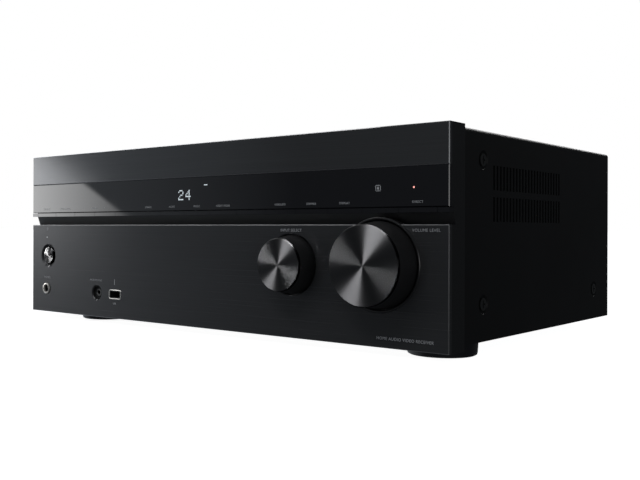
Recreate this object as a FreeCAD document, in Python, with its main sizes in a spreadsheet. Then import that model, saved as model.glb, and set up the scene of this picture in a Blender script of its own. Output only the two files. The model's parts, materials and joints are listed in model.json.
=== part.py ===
"""A full-width audio-video receiver, built as a parametric FreeCAD document.

Millimetres, +Z up. The origin is on the table under the middle of the receiver:
X runs to the right seen from the front, Y from the front to the back.
"""

import FreeCAD, Part

import os
import re

import Sketcher

Vector = FreeCAD.Vector
Rotation = FreeCAD.Rotation

SIZES = [
    # the case
    ("width", 430, "front panel width"),
    ("panel_height", 142, "front panel height"),
    ("foot_drop", 5.5, "front panel's lower edge above the table"),
    ("body_depth", 278.5, "front panel's face to the cover's rear edge"),
    ("knob_reach", 18, "volume knob in front of the panel"),
    ("post_reach", 16.5, "speaker terminals behind the cover's rear edge"),
    ("fascia_depth", 20, "depth of the moulded front"),
    ("fascia_wall", 2.5, "wall of the moulded front"),
    ("fascia_back", 4, "moulding behind the lower panel"),
    ("plate", 3.4, "thickness of the trim, window and lower panel"),
    ("edge", 0.5, "polished chamfer on the front plates"),
    # bands of the front, from the top down
    ("trim_band", 26.2, "brushed upper trim"),
    ("window_band", 25.8, "display window"),
    ("strip_gap", 0.4, "gap between window and buttons"),
    ("strip_band", 3, "row of function buttons"),
    ("groove_band", 7.5, "open groove across the front"),
    ("lower_band", 79.1, "brushed lower panel"),
    ("groove_high", 5.4, "groove's depth at its top"),
    ("groove_low", 8, "groove's depth at its bottom"),
    # sheet metal
    ("sheet", 1, "steel sheet"),
    ("cover_half", 214.8, "half the cover's width"),
    ("cover_rise", 140.3, "cover's top above the front panel's lower edge"),
    ("cover_fall", 3.6, "chassis' underside above the front panel's lower edge"),
    ("fit_gap", 0.2, "gap between panels that meet"),
    ("flange", 34, "height of the chassis' side flanges"),
    ("wall_place", 42, "chassis' front wall behind the panel's face"),
    ("wall_high", 134, "top of the chassis' front wall above the table"),
    # vents
    ("dimple", 7, "radius of the dimple around a side screw"),
    ("dimple_deep", 1.1, "depth of the dimple"),
    ("vent_pitch", 5, "spacing of the vent slots"),
    ("vent_slot", 2.4, "width of a vent slot"),
    ("vent_rise", 16.2, "length of a side slot"),
    ("vent_start", 60, "first side slot behind the panel's face"),
    ("vent_low", 81.2, "lower row of side slots above the panel's lower edge"),
    ("vent_high", 102, "upper row of side slots above the panel's lower edge"),
    ("top_vent_left", -172, "left end of the slots in the top"),
    ("top_vent_long", 34, "length of a slot in the top"),
    ("floor_vent_left", -88, "left end of the slots in the floor"),
    ("floor_vent_long", 38, "length of a slot in the floor"),
    # function buttons
    ("button_pitch", 27.6, "spacing of the function buttons"),
    ("button_gap", 0.3, "gap between two buttons"),
    ("stem", 4, "width of a button's stem"),
    ("stem_gap", 0.3, "gap between a stem and its slot"),
    ("stem_inset", 0.4, "stem's top below the button's top"),
    ("stem_reach", 19.6, "end of a stem behind the panel's face"),
    ("button_travel", 0.85, "room for a button to go in"),
    ("switch_size", 6, "switch behind a button"),
    ("tube_deep", 5, "fluorescent display tube"),
    ("board_place", 22.4, "display board behind the panel's face"),
    ("board", 1.6, "circuit board thickness"),
    # lower panel, places from the centre and from the panel's lower edge
    ("power_across", -190.6, "power button"),
    ("power_up", 51.2, "power button"),
    ("power_radius", 7.8, "power button"),
    ("power_bezel", 10.6, "chamfer around the power button"),
    ("power_hole", 8.8, "hole for the power button"),
    ("phones_across", -193, "headphone socket"),
    ("phones_up", 21.1, "headphone socket"),
    ("phones_radius", 5.2, "headphone socket's collar"),
    ("phones_bore", 3.25, "6.35 mm plug"),
    ("mic_across", -121, "calibration microphone socket"),
    ("mic_up", 20.9, "calibration microphone socket"),
    ("mic_dish", 6.6, "dish around the microphone socket"),
    ("mic_bore", 1.8, "3.5 mm plug"),
    ("usb_across", -96.8, "USB socket"),
    ("usb_up", 20.2, "USB socket"),
    ("usb_wide", 15.6, "USB surround"),
    ("usb_tall", 8.2, "USB surround"),
    ("selector_across", 92.6, "input selector knob"),
    ("selector_up", 51.3, "input selector knob"),
    ("selector_radius", 18.5, "input selector knob's face"),
    ("selector_reach", 14.6, "input selector knob in front of the panel"),
    ("volume_across", 164.3, "volume knob"),
    ("volume_up", 53, "volume knob"),
    ("volume_radius", 26.3, "volume knob's face"),
    ("volume_ring", 30.9, "ring around the volume knob"),
    ("knob_taper", 2, "how much wider a knob is at its base"),
    ("knob_sink", 1.5, "how far a knob goes into the panel"),
    ("knob_gap", 1, "gap around a knob's base"),
    ("face", 2, "thickness of a knob's face disc"),
    ("shaft_radius", 3, "encoder shaft"),
    ("shaft_play", 0.05, "running clearance of a shaft"),
    # feet
    ("foot_radius", 22.6, "front foot"),
    ("rear_foot_radius", 16, "rear foot"),
    ("foot_left", -150, "left front foot"),
    ("foot_right", 190.5, "right front foot"),
    ("foot_rear", 158, "rear feet from the centre"),
    ("foot_front_place", 36.5, "front feet behind the panel's face"),
    ("foot_rear_place", 250, "rear feet behind the panel's face"),
    # the rear
    ("post_first", -125, "first pair of speaker terminals"),
    ("post_pitch", 30, "spacing of the pairs"),
    ("post_low", 36, "lower row of speaker terminals above the table"),
    ("post_high", 62, "upper row of speaker terminals above the table"),
    ("cap_radius", 6.2, "screw cap"),
    ("stud_radius", 3.4, "terminal's stud"),
    ("banana_radius", 2.05, "4 mm banana plug"),
    ("rca_first", 60, "first column of phono sockets"),
    ("rca_pitch", 35, "spacing of the columns"),
    ("rca_low", 40, "lowest row of phono sockets above the table"),
    ("rca_rise", 22, "spacing of the rows"),
    ("rca_radius", 4.15, "phono socket's barrel"),
    ("hdmi_first", 50, "first digital video socket"),
    ("hdmi_pitch", 26, "spacing of the digital video sockets"),
    ("digital_height", 116, "digital board above the table"),
    ("inlet_across", -182, "mains inlet"),
    ("inlet_up", 42, "mains inlet above the table"),
    # inside
    ("core_wide", 88, "transformer core"),
    ("core_deep", 40, "transformer core"),
    ("core_tall", 74, "transformer core"),
    ("core_limb", 28, "transformer's middle limb"),
    ("core_window", 15, "width of the core's windows"),
    ("coil_tall", 44, "transformer coil"),
    ("coil_bulge", 16, "coil in front of and behind the core"),
    ("core_across", -156, "middle of the transformer"),
    ("core_place", 100, "middle of the transformer behind the panel's face"),
    ("sink_wide", 200, "heat sink"),
    ("sink_tall", 98, "heat sink"),
    ("sink_left", -95, "heat sink's left end"),
    ("sink_place", 110, "heat sink's plate behind the panel's face"),
    ("sink_plate", 8, "heat sink's plate"),
    ("fin_deep", 26, "heat sink's fins"),
    ("fin_thick", 2, "heat sink's fins"),
    ("fin_pitch", 9, "spacing of the fins"),
    ("chip_first", 12, "first output transistor from the heat sink's end"),
    ("chip_pitch", 19.5, "spacing of the output transistors"),
    ("chip_thick", 5, "output transistor"),
    ("amp_height", 20, "amplifier board above the table"),
    ("amp_left", -96, "amplifier board's left edge"),
    ("amp_place", 126, "amplifier board behind the panel's face"),
    ("amp_wide", 300, "amplifier board"),
    ("amp_deep", 136, "amplifier board"),
    ("digital_left", 14, "digital board's left edge"),
    ("digital_place", 170, "digital board behind the panel's face"),
    ("digital_wide", 190, "digital board"),
    ("digital_deep", 105, "digital board"),
    ("ribbon_thick", 0.8, "flat cable"),
    ("cap_wide", 17.5, "radius of the filter capacitors"),
    ("cap_tall", 50, "height of the filter capacitors"),
]

# places worked out from the sheet
FRONT = "((knob_reach - body_depth - post_reach) / 2)"
REAR = f"({FRONT} + body_depth)"
REAR_FACE = f"({REAR} - sheet)"
HALF = "(width / 2)"
PANEL_LOW = "foot_drop"
PANEL_HIGH = "(foot_drop + panel_height)"
LOWER_HIGH = "(foot_drop + lower_band)"
STRIP_LOW = f"({LOWER_HIGH} + groove_band)"
STRIP_HIGH = f"({STRIP_LOW} + strip_band)"
WINDOW_LOW = f"({STRIP_HIGH} + strip_gap)"
WINDOW_HIGH = f"({PANEL_HIGH} - trim_band)"
COVER_HIGH = "(foot_drop + cover_rise)"
BASE_LOW = "(foot_drop + cover_fall)"
BASE_HIGH = f"({BASE_LOW} + sheet)"
STRIP_MIDDLE = f"({STRIP_LOW} + strip_band / 2)"

DOC = FreeCAD.newDocument("receiver")
SHEET = DOC.addObject("Spreadsheet::Sheet", "Sizes")
NODES = []
ALIAS = re.compile(r"\b(" + "|".join(alias for alias, _, _ in SIZES) + r")\b")

for row, (alias, number, note) in enumerate(SIZES, 1):
    SHEET.set(f"A{row}", note)
    SHEET.set(f"B{row}", str(number))
    SHEET.setAlias(f"B{row}", alias)
DOC.recompute()


def bind(item, path, text):
    """Ties a property to an expression in the sheet's words."""
    item.setExpression(path, ALIAS.sub(r"Sizes.\1", str(text)))


def place(item, x, y, z):
    for axis, text in zip("xyz", (x, y, z)):
        bind(item, f"Placement.Base.{axis}", text)
    return item


def node(item, label):
    """Keeps a finished sub-part under the name that its file gets."""
    item.Label = label
    NODES.append(item)
    return item


# ---------------------------------------------------------------- sketched bodies

NORMAL_SIGN = {"XY": 1, "XZ": -1, "YZ": 1}


def new_body(name):
    return DOC.addObject("PartDesign::Body", name)


def sketch_on(body, plane, height, outlines=(), circles=()):
    """A sketch parallel to an origin plane. Every corner and circle is bound to the sheet."""
    sketch = body.newObject("Sketcher::SketchObject", f"{body.Name}_sketch")
    origin = next(f for f in body.Origin.OriginFeatures if f.Role == f"{plane}_Plane")
    sketch.AttachmentSupport = [(origin, "")]
    sketch.MapMode = "FlatFace"
    bind(sketch, "AttachmentOffset.Base.z", f"{NORMAL_SIGN[plane]} * ({height})")
    for outline in outlines:
        add_outline(sketch, outline)
    for across, up, radius in circles:
        index = sketch.addGeometry(Part.Circle(Vector(1, 1, 0), Vector(0, 0, 1), 1), False)
        add_size(sketch, "DistanceX", (-1, 1, index, 3), across)
        add_size(sketch, "DistanceY", (-1, 1, index, 3), up)
        add_size(sketch, "Radius", (index,), radius)
    return sketch


def add_size(sketch, kind, where, text):
    index = sketch.addConstraint(Sketcher.Constraint(kind, *where, 1.0))
    name = f"size{index}"
    sketch.renameConstraint(index, name)
    bind(sketch, f"Constraints.{name}", text)


def add_outline(sketch, corners):
    count = len(corners)
    ring = [Rotation(Vector(0, 0, 1), 360.0 * i / count).multVec(Vector(5, 0, 0)) for i in range(count)]
    first = sketch.GeometryCount
    for i in range(count):
        sketch.addGeometry(Part.LineSegment(ring[i], ring[(i + 1) % count]), False)
    for i in range(count):
        joined = (first + i, 2, first + (i + 1) % count, 1)
        sketch.addConstraint(Sketcher.Constraint("Coincident", *joined))
    for i, (across, up) in enumerate(corners):
        add_size(sketch, "DistanceX", (-1, 1, first + i, 1), across)
        add_size(sketch, "DistanceY", (-1, 1, first + i, 1), up)


def block(x0, y0, x1, y1):
    """The corners of a rectangle."""
    return [(x0, y0), (x1, y0), (x1, y1), (x0, y1)]


def pad(body, plane, low, high, outlines=(), circles=()):
    """Adds material between two heights along the plane's axis."""
    start = low if NORMAL_SIGN[plane] > 0 else high
    feature = body.newObject("PartDesign::Pad", f"{body.Name}_pad")
    feature.Profile = sketch_on(body, plane, start, outlines, circles)
    bind(feature, "Length", f"{high} - ({low})")
    return feature


def pocket(body, plane, low, high, outlines=(), circles=()):
    """Cuts material away between two heights along the plane's axis."""
    start = high if NORMAL_SIGN[plane] > 0 else low
    feature = body.newObject("PartDesign::Pocket", f"{body.Name}_pocket")
    feature.Profile = sketch_on(body, plane, start, outlines, circles)
    bind(feature, "Length", f"{high} - ({low})")
    return feature


def repeat(body, feature, axis, pitch, count):
    """Repeats a feature along an origin axis."""
    pattern = body.newObject("PartDesign::LinearPattern", f"{body.Name}_pattern")
    pattern.Originals = [feature]
    line = next(f for f in body.Origin.OriginFeatures if f.Role == f"{axis}_Axis")
    pattern.Direction = (line, [""])
    bind(pattern, "Length", f"{pitch} * {count - 1}")
    pattern.Occurrences = count
    body.Tip = pattern
    return pattern


def turned(name, profile, plane="XY"):
    """A body turned about its own Y axis (plane XY) or Z axis (plane XZ)."""
    body = new_body(name)
    feature = body.newObject("PartDesign::Revolution", f"{name}_turn")
    sketch = sketch_on(body, plane, "0", [profile])
    feature.Profile = sketch
    feature.ReferenceAxis = (sketch, ["V_Axis"])
    feature.Angle = 360
    return body


def soften(body, kind, size, chosen):
    """Chamfers or fillets the edges of the body's tip that the test picks."""
    DOC.recompute()
    tip = body.Tip
    names = [f"Edge{i + 1}" for i, e in enumerate(tip.Shape.Edges) if chosen(e)]
    feature = body.newObject(f"PartDesign::{kind}", f"{body.Name}_{kind.lower()}")
    feature.Base = (tip, names)
    bind(feature, "Radius" if kind == "Fillet" else "Size", size)
    return feature


def near(a, b):
    return abs(a - b) < 0.01


def lies(edge, **at):
    """True if all of an edge lies at the given x, y or z."""
    box = edge.BoundBox
    ends = {"x": (box.XMin, box.XMax), "y": (box.YMin, box.YMax), "z": (box.ZMin, box.ZMax)}
    return all(near(ends[k][0], v) and near(ends[k][1], v) for k, v in at.items())


# ---------------------------------------------------------------- plain solids


def box(name, size, corner):
    item = DOC.addObject("Part::Box", name)
    for path, text in zip(("Length", "Width", "Height"), size):
        bind(item, path, text)
    return place(item, *corner)


def centred_box(name, size, middle):
    """A box given by its middle."""
    return box(name, size, [f"{m} - ({s}) / 2" for m, s in zip(middle, size)])


AXIS_TURNS = {
    "x": Rotation(Vector(0, 1, 0), 90),
    "y": Rotation(Vector(1, 0, 0), -90),
    "z": Rotation(),
}


def rod(name, radius, length, start, axis):
    """A cylinder that begins at start and runs along an axis."""
    item = DOC.addObject("Part::Cylinder", name)
    bind(item, "Radius", radius)
    bind(item, "Height", length)
    item.Placement = FreeCAD.Placement(Vector(), AXIS_TURNS[axis])
    return place(item, *start)


def fuse(name, pieces):
    item = DOC.addObject("Part::MultiFuse", name)
    item.Shapes = pieces
    return item


def cut(name, base, tool):
    item = DOC.addObject("Part::Cut", name)
    item.Base = base
    item.Tool = tool
    return item


def group(name, pieces):
    """Several separate solids under one name."""
    item = DOC.addObject("Part::Compound", name)
    item.Links = pieces
    return item


# ---------------------------------------------------------------- the front


def front_plates():
    """The brushed trim, the display window and the brushed lower panel."""
    face = SHEET.knob_reach / 2 - SHEET.body_depth / 2 - SHEET.post_reach / 2
    back = f"({FRONT} + plate)"

    trim = new_body("upper_trim")
    pad(trim, "XZ", FRONT, back, [block(f"-{HALF}", WINDOW_HIGH, HALF, PANEL_HIGH)])
    soften(trim, "Chamfer", "edge", lambda e: lies(e, y=face))
    node(trim, "upper_trim")

    window = new_body("display_window")
    pad(window, "XZ", FRONT, back, [block(f"-{HALF}", WINDOW_LOW, HALF, WINDOW_HIGH)])
    soften(window, "Chamfer", "edge", lambda e: lies(e, y=face))
    node(window, "display_window")

    panel = new_body("lower_panel")
    pad(panel, "XZ", FRONT, back, [block(f"-{HALF}", PANEL_LOW, HALF, LOWER_HIGH)])
    soften(panel, "Chamfer", "edge", lambda e: lies(e, y=face))
    holes = [
        ("power_across", "foot_drop + power_up", "power_hole"),
        ("phones_across", "foot_drop + phones_up", "phones_radius + fit_gap"),
        ("mic_across", "foot_drop + mic_up", "mic_dish - 1"),
        ("selector_across", "foot_drop + selector_up", "selector_radius + knob_taper + knob_gap"),
        ("volume_across", "foot_drop + volume_up", "volume_ring + fit_gap / 2"),
    ]
    pocket(panel, "XZ", FRONT, back, [usb_outline("fit_gap")], holes)
    rims = {
        SHEET.power_across: "power_bezel - power_hole",
        SHEET.mic_across: "1",
        SHEET.selector_across: "edge",
    }
    for across, size in rims.items():
        soften(panel, "Chamfer", size, lambda e: lies(e, y=face) and is_ring(e, across))
    node(panel, "lower_panel")


def is_ring(edge, across):
    """True for a circle about a line at the given x."""
    curve = edge.Curve
    return isinstance(curve, Part.Circle) and near(curve.Center.x, across)


def is_wide_ring(edge, x):
    """True for a dimple's mouth on the cover's side at the given x."""
    curve = edge.Curve
    return isinstance(curve, Part.Circle) and lies(edge, x=x) and curve.Radius > SHEET.dimple / 2


def usb_outline(gap):
    """The eight corners of the USB surround, with its corners cut off."""
    half_wide, half_tall, corner = f"(usb_wide / 2 + {gap})", f"(usb_tall / 2 + {gap})", "2"
    middle = ("usb_across", "(foot_drop + usb_up)")
    steps = [
        (f"-({half_wide} - {corner})", f"-{half_tall}"),
        (f"({half_wide} - {corner})", f"-{half_tall}"),
        (half_wide, f"-({half_tall} - {corner})"),
        (half_wide, f"({half_tall} - {corner})"),
        (f"({half_wide} - {corner})", half_tall),
        (f"-({half_wide} - {corner})", half_tall),
        (f"-{half_wide}", f"({half_tall} - {corner})"),
        (f"-{half_wide}", f"-({half_tall} - {corner})"),
    ]
    return [(f"{middle[0]} + ({x})", f"{middle[1]} + ({z})") for x, z in steps]


def front_fascia():
    """The moulded front that carries the plates, with the groove and the side returns."""
    body = new_body("front_fascia")
    plate, back = f"({FRONT} + plate)", f"({FRONT} + fascia_depth)"
    outside = [
        (plate, PANEL_LOW),
        (plate, LOWER_HIGH),
        (f"{FRONT} + groove_low", LOWER_HIGH),
        (f"{FRONT} + groove_high", STRIP_LOW),
        (f"{FRONT} + groove_high", WINDOW_LOW),
        (plate, WINDOW_LOW),
        (plate, PANEL_HIGH),
        (back, PANEL_HIGH),
        (back, PANEL_LOW),
    ]
    pad(body, "YZ", f"-{HALF}", HALF, [outside])
    depths = ("groove_low + fascia_wall", "plate + fascia_back", "plate + fascia_wall")
    deep, shallow, upper = (f"({FRONT} + {depth})" for depth in depths)
    inside = [
        (shallow, f"{PANEL_LOW} + fascia_wall"),
        (shallow, f"{LOWER_HIGH} - fascia_wall"),
        (deep, f"{LOWER_HIGH} - fascia_wall"),
        (deep, f"{WINDOW_LOW} + fascia_wall"),
        (upper, f"{WINDOW_LOW} + fascia_wall"),
        (upper, f"{PANEL_HIGH} - fascia_wall"),
        (f"{back} + 1", f"{PANEL_HIGH} - fascia_wall"),
        (f"{back} + 1", f"{PANEL_LOW} + fascia_wall"),
    ]
    pocket(body, "YZ", f"-({HALF} - fascia_wall)", f"({HALF} - fascia_wall)", [inside])
    half_stem = "(stem / 2 + stem_gap)"
    low, high = f"{STRIP_LOW} + stem_inset", f"{STRIP_HIGH} - stem_inset"
    slots = [
        block(f"{x} - {half_stem}", f"{low} - stem_gap", f"{x} + {half_stem}", f"{high} + stem_gap")
        for x in button_places().values()
    ]
    tube = block("-80", f"{WINDOW_LOW} + 3", "80", f"{WINDOW_HIGH} - 1")
    rings = [
        ("power_across", "foot_drop + power_up", "power_radius - 2"),
        ("phones_across", "foot_drop + phones_up", "phones_radius + fit_gap"),
        ("mic_across", "foot_drop + mic_up", "3.6"),
        ("selector_across", "foot_drop + selector_up", "4.6"),
        ("volume_across", "foot_drop + volume_up", "4.6"),
    ]
    pocket(body, "XZ", FRONT, f"{FRONT} + 12", [usb_outline("fit_gap"), tube] + slots, rings)
    recess = [("volume_across", "foot_drop + volume_up", "volume_ring + fit_gap / 2")]
    pocket(body, "XZ", FRONT, f"{FRONT} + plate + 2", circles=recess)
    notches = [(x, f"{FRONT} + foot_front_place", "foot_radius + 1") for x in ("foot_left", "foot_right")]
    pocket(body, "XY", f"{PANEL_LOW} - 1", f"{PANEL_LOW} + fascia_wall + 1", circles=notches)
    node(body, "front_fascia")


BUTTON_NAMES = {
    0: "speakers",
    1: "tuning_mode",
    2: "tuning_down",
    3: "tuning_up",
    5: "stereo_mode",
    6: "movie_mode",
    7: "music_mode",
    8: "night_mode",
    10: "wireless",
    11: "dimmer",
    12: "display",
    14: "direct",
}
STRIP_CELLS = 15


def cell_middle(cell):
    return f"(button_pitch * ({cell} - {(STRIP_CELLS - 1) / 2}))"


def button_places():
    return {name: cell_middle(cell) for cell, name in BUTTON_NAMES.items()}


def button_strip():
    """The row of function buttons, and the fixed pieces between and beside them."""
    half = "((button_pitch - button_gap) / 2)"
    for name, middle in button_places().items():
        body = new_body(f"button_{name}")
        bar = block(f"{middle} - {half}", STRIP_LOW, f"{middle} + {half}", STRIP_HIGH)
        pad(body, "XZ", FRONT, f"{FRONT} + plate", [bar])
        low, high = f"{STRIP_LOW} + stem_inset", f"{STRIP_HIGH} - stem_inset"
        stem = block(f"{middle} - stem / 2", low, f"{middle} + stem / 2", high)
        pad(body, "XZ", f"{FRONT} + plate", f"{FRONT} + stem_reach", [stem])
        node(body, f"button_{name}")
    blanks = []
    for cell in range(STRIP_CELLS):
        if cell not in BUTTON_NAMES:
            size = ("button_pitch - button_gap", "groove_high", "strip_band")
            corner = (f"{cell_middle(cell)} - {half}", FRONT, STRIP_LOW)
            blanks.append(box(f"blank_{cell}", size, corner))
    end = f"({HALF} - button_pitch * {STRIP_CELLS / 2} - button_gap / 2)"
    for side, start in (("left", f"-{HALF}"), ("right", f"{HALF} - {end}")):
        blanks.append(box(f"blank_{side}", (end, "groove_high", "strip_band"), (start, FRONT, STRIP_LOW)))
    node(group("strip_blanks", blanks), "strip_blanks")


def power_button():
    """A round button with a slightly domed face, and a stem to its switch."""
    profile = [
        ("0", "-0.3"),
        ("power_radius - 1", "-0.1"),
        ("power_radius", "0.6"),
        ("power_radius", "plate - 1"),
        ("2.5", "plate - 1"),
        ("2.5", "stem_reach"),
        ("0", "stem_reach"),
    ]
    body = turned("power_button", profile)
    node(place(body, "power_across", FRONT, "foot_drop + power_up"), "power_button")


def knob(name, across, up, radius, reach):
    """A hollow knob, the spun disc on its face, and the shaft it turns."""
    skirt = f"({radius} + knob_taper)"
    bore, hub = "(shaft_radius - shaft_play)", "(shaft_radius + 3)"
    body_profile = [
        (bore, f"face - {reach}"),
        (radius, f"face - {reach}"),
        (skirt, "knob_sink"),
        (f"{skirt} - 2.5", "knob_sink"),
        (f"{radius} - 2.5", f"4.5 - {reach}"),
        (hub, f"4.5 - {reach}"),
        (hub, "0.6"),
        (bore, "0.6"),
    ]
    disc_profile = [
        ("0", f"-{reach}"),
        (f"{radius} - 0.6", f"-{reach}"),
        (radius, f"0.6 - {reach}"),
        (radius, f"face - {reach}"),
        ("0", f"face - {reach}"),
    ]
    shaft_profile = [
        ("0", f"face - {reach}"),
        (bore, f"face - {reach}"),
        (bore, "13"),
        ("0", "13"),
    ]
    for suffix, profile in (("knob", body_profile), ("knob_face", disc_profile), ("shaft", shaft_profile)):
        body = turned(f"{name}_{suffix}", profile)
        node(place(body, across, FRONT, f"foot_drop + {up}"), f"{name}_{suffix}")


def volume_ring():
    inner = "(volume_radius + knob_taper + knob_gap)"
    profile = [
        (f"{inner} + edge", "-0.3"),
        ("volume_ring - edge", "-0.3"),
        ("volume_ring", "edge - 0.3"),
        ("volume_ring", "plate + 2"),
        (inner, "plate + 2"),
        (inner, "edge - 0.3"),
    ]
    body = turned("volume_ring", profile)
    node(place(body, "volume_across", FRONT, "foot_drop + volume_up"), "volume_ring")


def encoder(name, across, up, seat):
    """The body, threaded bush and nut of a rotary encoder. Seat is the face its nut sits on."""
    z = f"foot_drop + {up}"
    wall_back = "plate + fascia_back"
    case = centred_box(f"{name}_case", ("16", "7", "16"), (across, f"{FRONT} + {wall_back} + 3.5", z))
    bush_start = f"({seat} - 2.4)"
    bush_long = f"{wall_back} + 1 - {bush_start}"
    bush = rod(f"{name}_bush", "4.4", bush_long, (across, f"{FRONT} + {bush_start}", z), "y")
    core = fuse(f"{name}_core", [case, bush])
    bore = rod(f"{name}_bore", "shaft_radius", "20", (across, f"{FRONT} - 6", z), "y")
    return cut(name, core, bore), nut(f"{name}_nut", across, f"{FRONT} + {seat} - 2", z, "6.8", "4.4", "2")


def nut(name, x, y, z, radius, bore, thick):
    """A hexagon nut on the Y axis."""
    prism = DOC.addObject("Part::Prism", f"{name}_prism")
    prism.Polygon = 6
    bind(prism, "Circumradius", radius)
    bind(prism, "Height", thick)
    prism.Placement = FreeCAD.Placement(Vector(), AXIS_TURNS["y"])
    place(prism, x, y, z)
    return cut(name, prism, rod(f"{name}_hole", bore, f"{thick} + 2", (x, f"{y} - 1", z), "y"))


def rotary_encoders():
    pieces = [
        *encoder("selector_encoder", "selector_across", "selector_up", "plate"),
        *encoder("volume_encoder", "volume_across", "volume_up", "plate + 2"),
    ]
    node(group("rotary_encoders", pieces), "rotary_encoders")


def front_sockets():
    """Headphone, microphone and USB sockets behind the lower panel."""
    back = f"({FRONT} + plate + fascia_back)"

    z = "foot_drop + phones_up"
    collar = rod("phones_collar", "phones_radius", "12", ("phones_across", f"{FRONT} - 1.8", z), "y")
    case = centred_box("phones_case", ("13", "26", "12"), ("phones_across", f"{back} + 13", z))
    solid = fuse("phones_solid", [collar, case])
    bore = rod("phones_hole", "phones_bore", "32", ("phones_across", f"{FRONT} - 2", z), "y")
    node(cut("headphone_jack", solid, bore), "headphone_jack")

    z = "foot_drop + mic_up"
    barrel = rod("mic_barrel", "3.35", "8", ("mic_across", f"{FRONT} + 2.6", z), "y")
    case = centred_box("mic_case", ("9", "14", "9"), ("mic_across", f"{back} + 7", z))
    solid = fuse("mic_solid", [barrel, case])
    bore = rod("mic_hole", "mic_bore", "16", ("mic_across", f"{FRONT} + 2", z), "y")
    node(cut("microphone_jack", solid, bore), "microphone_jack")

    body = new_body("usb_shell")
    pad(body, "XZ", f"{FRONT} - 0.3", f"{FRONT} + 18", [usb_outline("0")])
    z = "(foot_drop + usb_up)"
    mouth = block("usb_across - 6.3", f"{z} - 2.6", "usb_across + 6.3", f"{z} + 2.6")
    pocket(body, "XZ", f"{FRONT} - 0.5", f"{FRONT} + 15", [mouth])
    tongue_middle = ("usb_across", f"{FRONT} + 11", f"{z} + 1.1")
    tongue = centred_box("usb_tongue", ("11", "8", "1.8"), tongue_middle)
    node(group("usb_port", [body, tongue]), "usb_port")


def display():
    """The fluorescent display tube, and the boards that carry it, the switches and the sockets."""
    middle = f"({WINDOW_LOW} + window_band / 2 + 1)"
    tube = centred_box("display_tube", ("158", "tube_deep", "20"), ("0", f"{FRONT} + plate + 3", middle))
    node(tube, "display_tube")
    y = f"({FRONT} + board_place)"
    holder_front = f"({FRONT} + plate + 3 + tube_deep / 2 + 0.1)"
    holder_deep = f"({y} - 0.1 - {holder_front})"
    holder_middle = ("0", f"{holder_front} + {holder_deep} / 2", middle)
    boards = [
        box("display_card", ("400", "board", "50"), ("-200", y, f"{STRIP_LOW} - 3")),
        box("power_card", ("24", "board", "26"), ("power_across - 12", y, "foot_drop + power_up - 13")),
        box("socket_card", ("122", "34", "board"), ("-205", f"{FRONT} + 12", "foot_drop + 7.5")),
        centred_box("tube_holder", ("150", holder_deep, "14"), holder_middle),
    ]
    switch_place = "(stem_reach + button_travel)"
    switch = ("switch_size", f"board_place - {switch_place}", "switch_size")
    depth = f"{FRONT} + (board_place + {switch_place}) / 2"
    for name, x in button_places().items():
        boards.append(centred_box(f"switch_{name}", switch, (x, depth, STRIP_MIDDLE)))
    boards.append(centred_box("switch_power", switch, ("power_across", depth, "foot_drop + power_up")))
    node(group("front_boards", boards), "front_boards")


# ---------------------------------------------------------------- the case


def screw_spots():
    """Side screws: how far behind the panel's face, and how far above its lower edge."""
    return [("45.5", "121"), ("46", "27.8"), ("245.5", "27.8")]


def press_dimples(body, side, low, high):
    """Sinks the side screws' seats between two heights, each with the sheet bulging inward."""
    spots = [(f"{FRONT} + {y}", f"foot_drop + {z}") for y, z in screw_spots()]
    bulge = (low, f"{high} + sheet") if side < 0 else (f"{low} - sheet", high)
    pad(body, "YZ", *bulge, circles=[(y, z, "dimple") for y, z in spots])
    pocket(body, "YZ", low, high, circles=[(y, z, "dimple - dimple_deep - edge") for y, z in spots])
    mouth = side * SHEET.cover_half
    soften(body, "Chamfer", "dimple_deep - 0.1", lambda e: is_wide_ring(e, mouth))


SIDE_SLOTS, TOP_SLOTS = 23, 57
TOP_VENT_ROWS = (70, 112, 154, 196)
FLOOR_VENT_ROWS = (66, 128, 176)
FLOOR_SLOTS = 19


def top_cover():
    body = new_body("top_cover")
    start, inner = f"({FRONT} + fascia_depth + fit_gap)", "(cover_half - sheet)"
    section = [
        ("-cover_half", BASE_LOW),
        ("-cover_half", COVER_HIGH),
        ("cover_half", COVER_HIGH),
        ("cover_half", BASE_LOW),
        (inner, BASE_LOW),
        (inner, f"{COVER_HIGH} - sheet"),
        (f"-{inner}", f"{COVER_HIGH} - sheet"),
        (f"-{inner}", BASE_LOW),
    ]
    pad(body, "XZ", start, REAR, [section])
    high = SHEET.foot_drop + SHEET.cover_rise
    for size, inset in (("2.5", 0), ("1.5", SHEET.sheet)):
        spots = [(s * (SHEET.cover_half - inset), high - inset) for s in (-1, 1)]
        soften(body, "Fillet", size, lambda e: any(lies(e, x=x, z=z) for x, z in spots))
    first, next_to = f"({FRONT} + vent_start)", f"({FRONT} + vent_start + vent_slot)"
    rows = [
        block(first, f"foot_drop + {low}", next_to, f"foot_drop + {low} + vent_rise")
        for low in ("vent_low", "vent_high")
    ]
    for side, low, high in (
        (-1, "-cover_half", "(dimple_deep - cover_half)"),
        (1, "(cover_half - dimple_deep)", "cover_half"),
    ):
        press_dimples(body, side, low, high)
    holes = [(f"{FRONT} + {y}", f"foot_drop + {z}", "2.2") for y, z in screw_spots()]
    pocket(body, "YZ", f"-{HALF}", HALF, circles=holes)
    side = pocket(body, "YZ", f"-{HALF}", HALF, rows)
    repeat(body, side, "Y", "vent_pitch", SIDE_SLOTS)
    left = "top_vent_left"
    top_rows = [
        block(left, f"{FRONT} + {y}", f"{left} + vent_slot", f"{FRONT} + {y} + top_vent_long")
        for y in TOP_VENT_ROWS
    ]
    top = pocket(body, "XY", f"{COVER_HIGH} - 2 * sheet", f"{COVER_HIGH} + sheet", top_rows)
    repeat(body, top, "X", "vent_pitch * 1.2", TOP_SLOTS)
    node(body, "top_cover")


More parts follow.
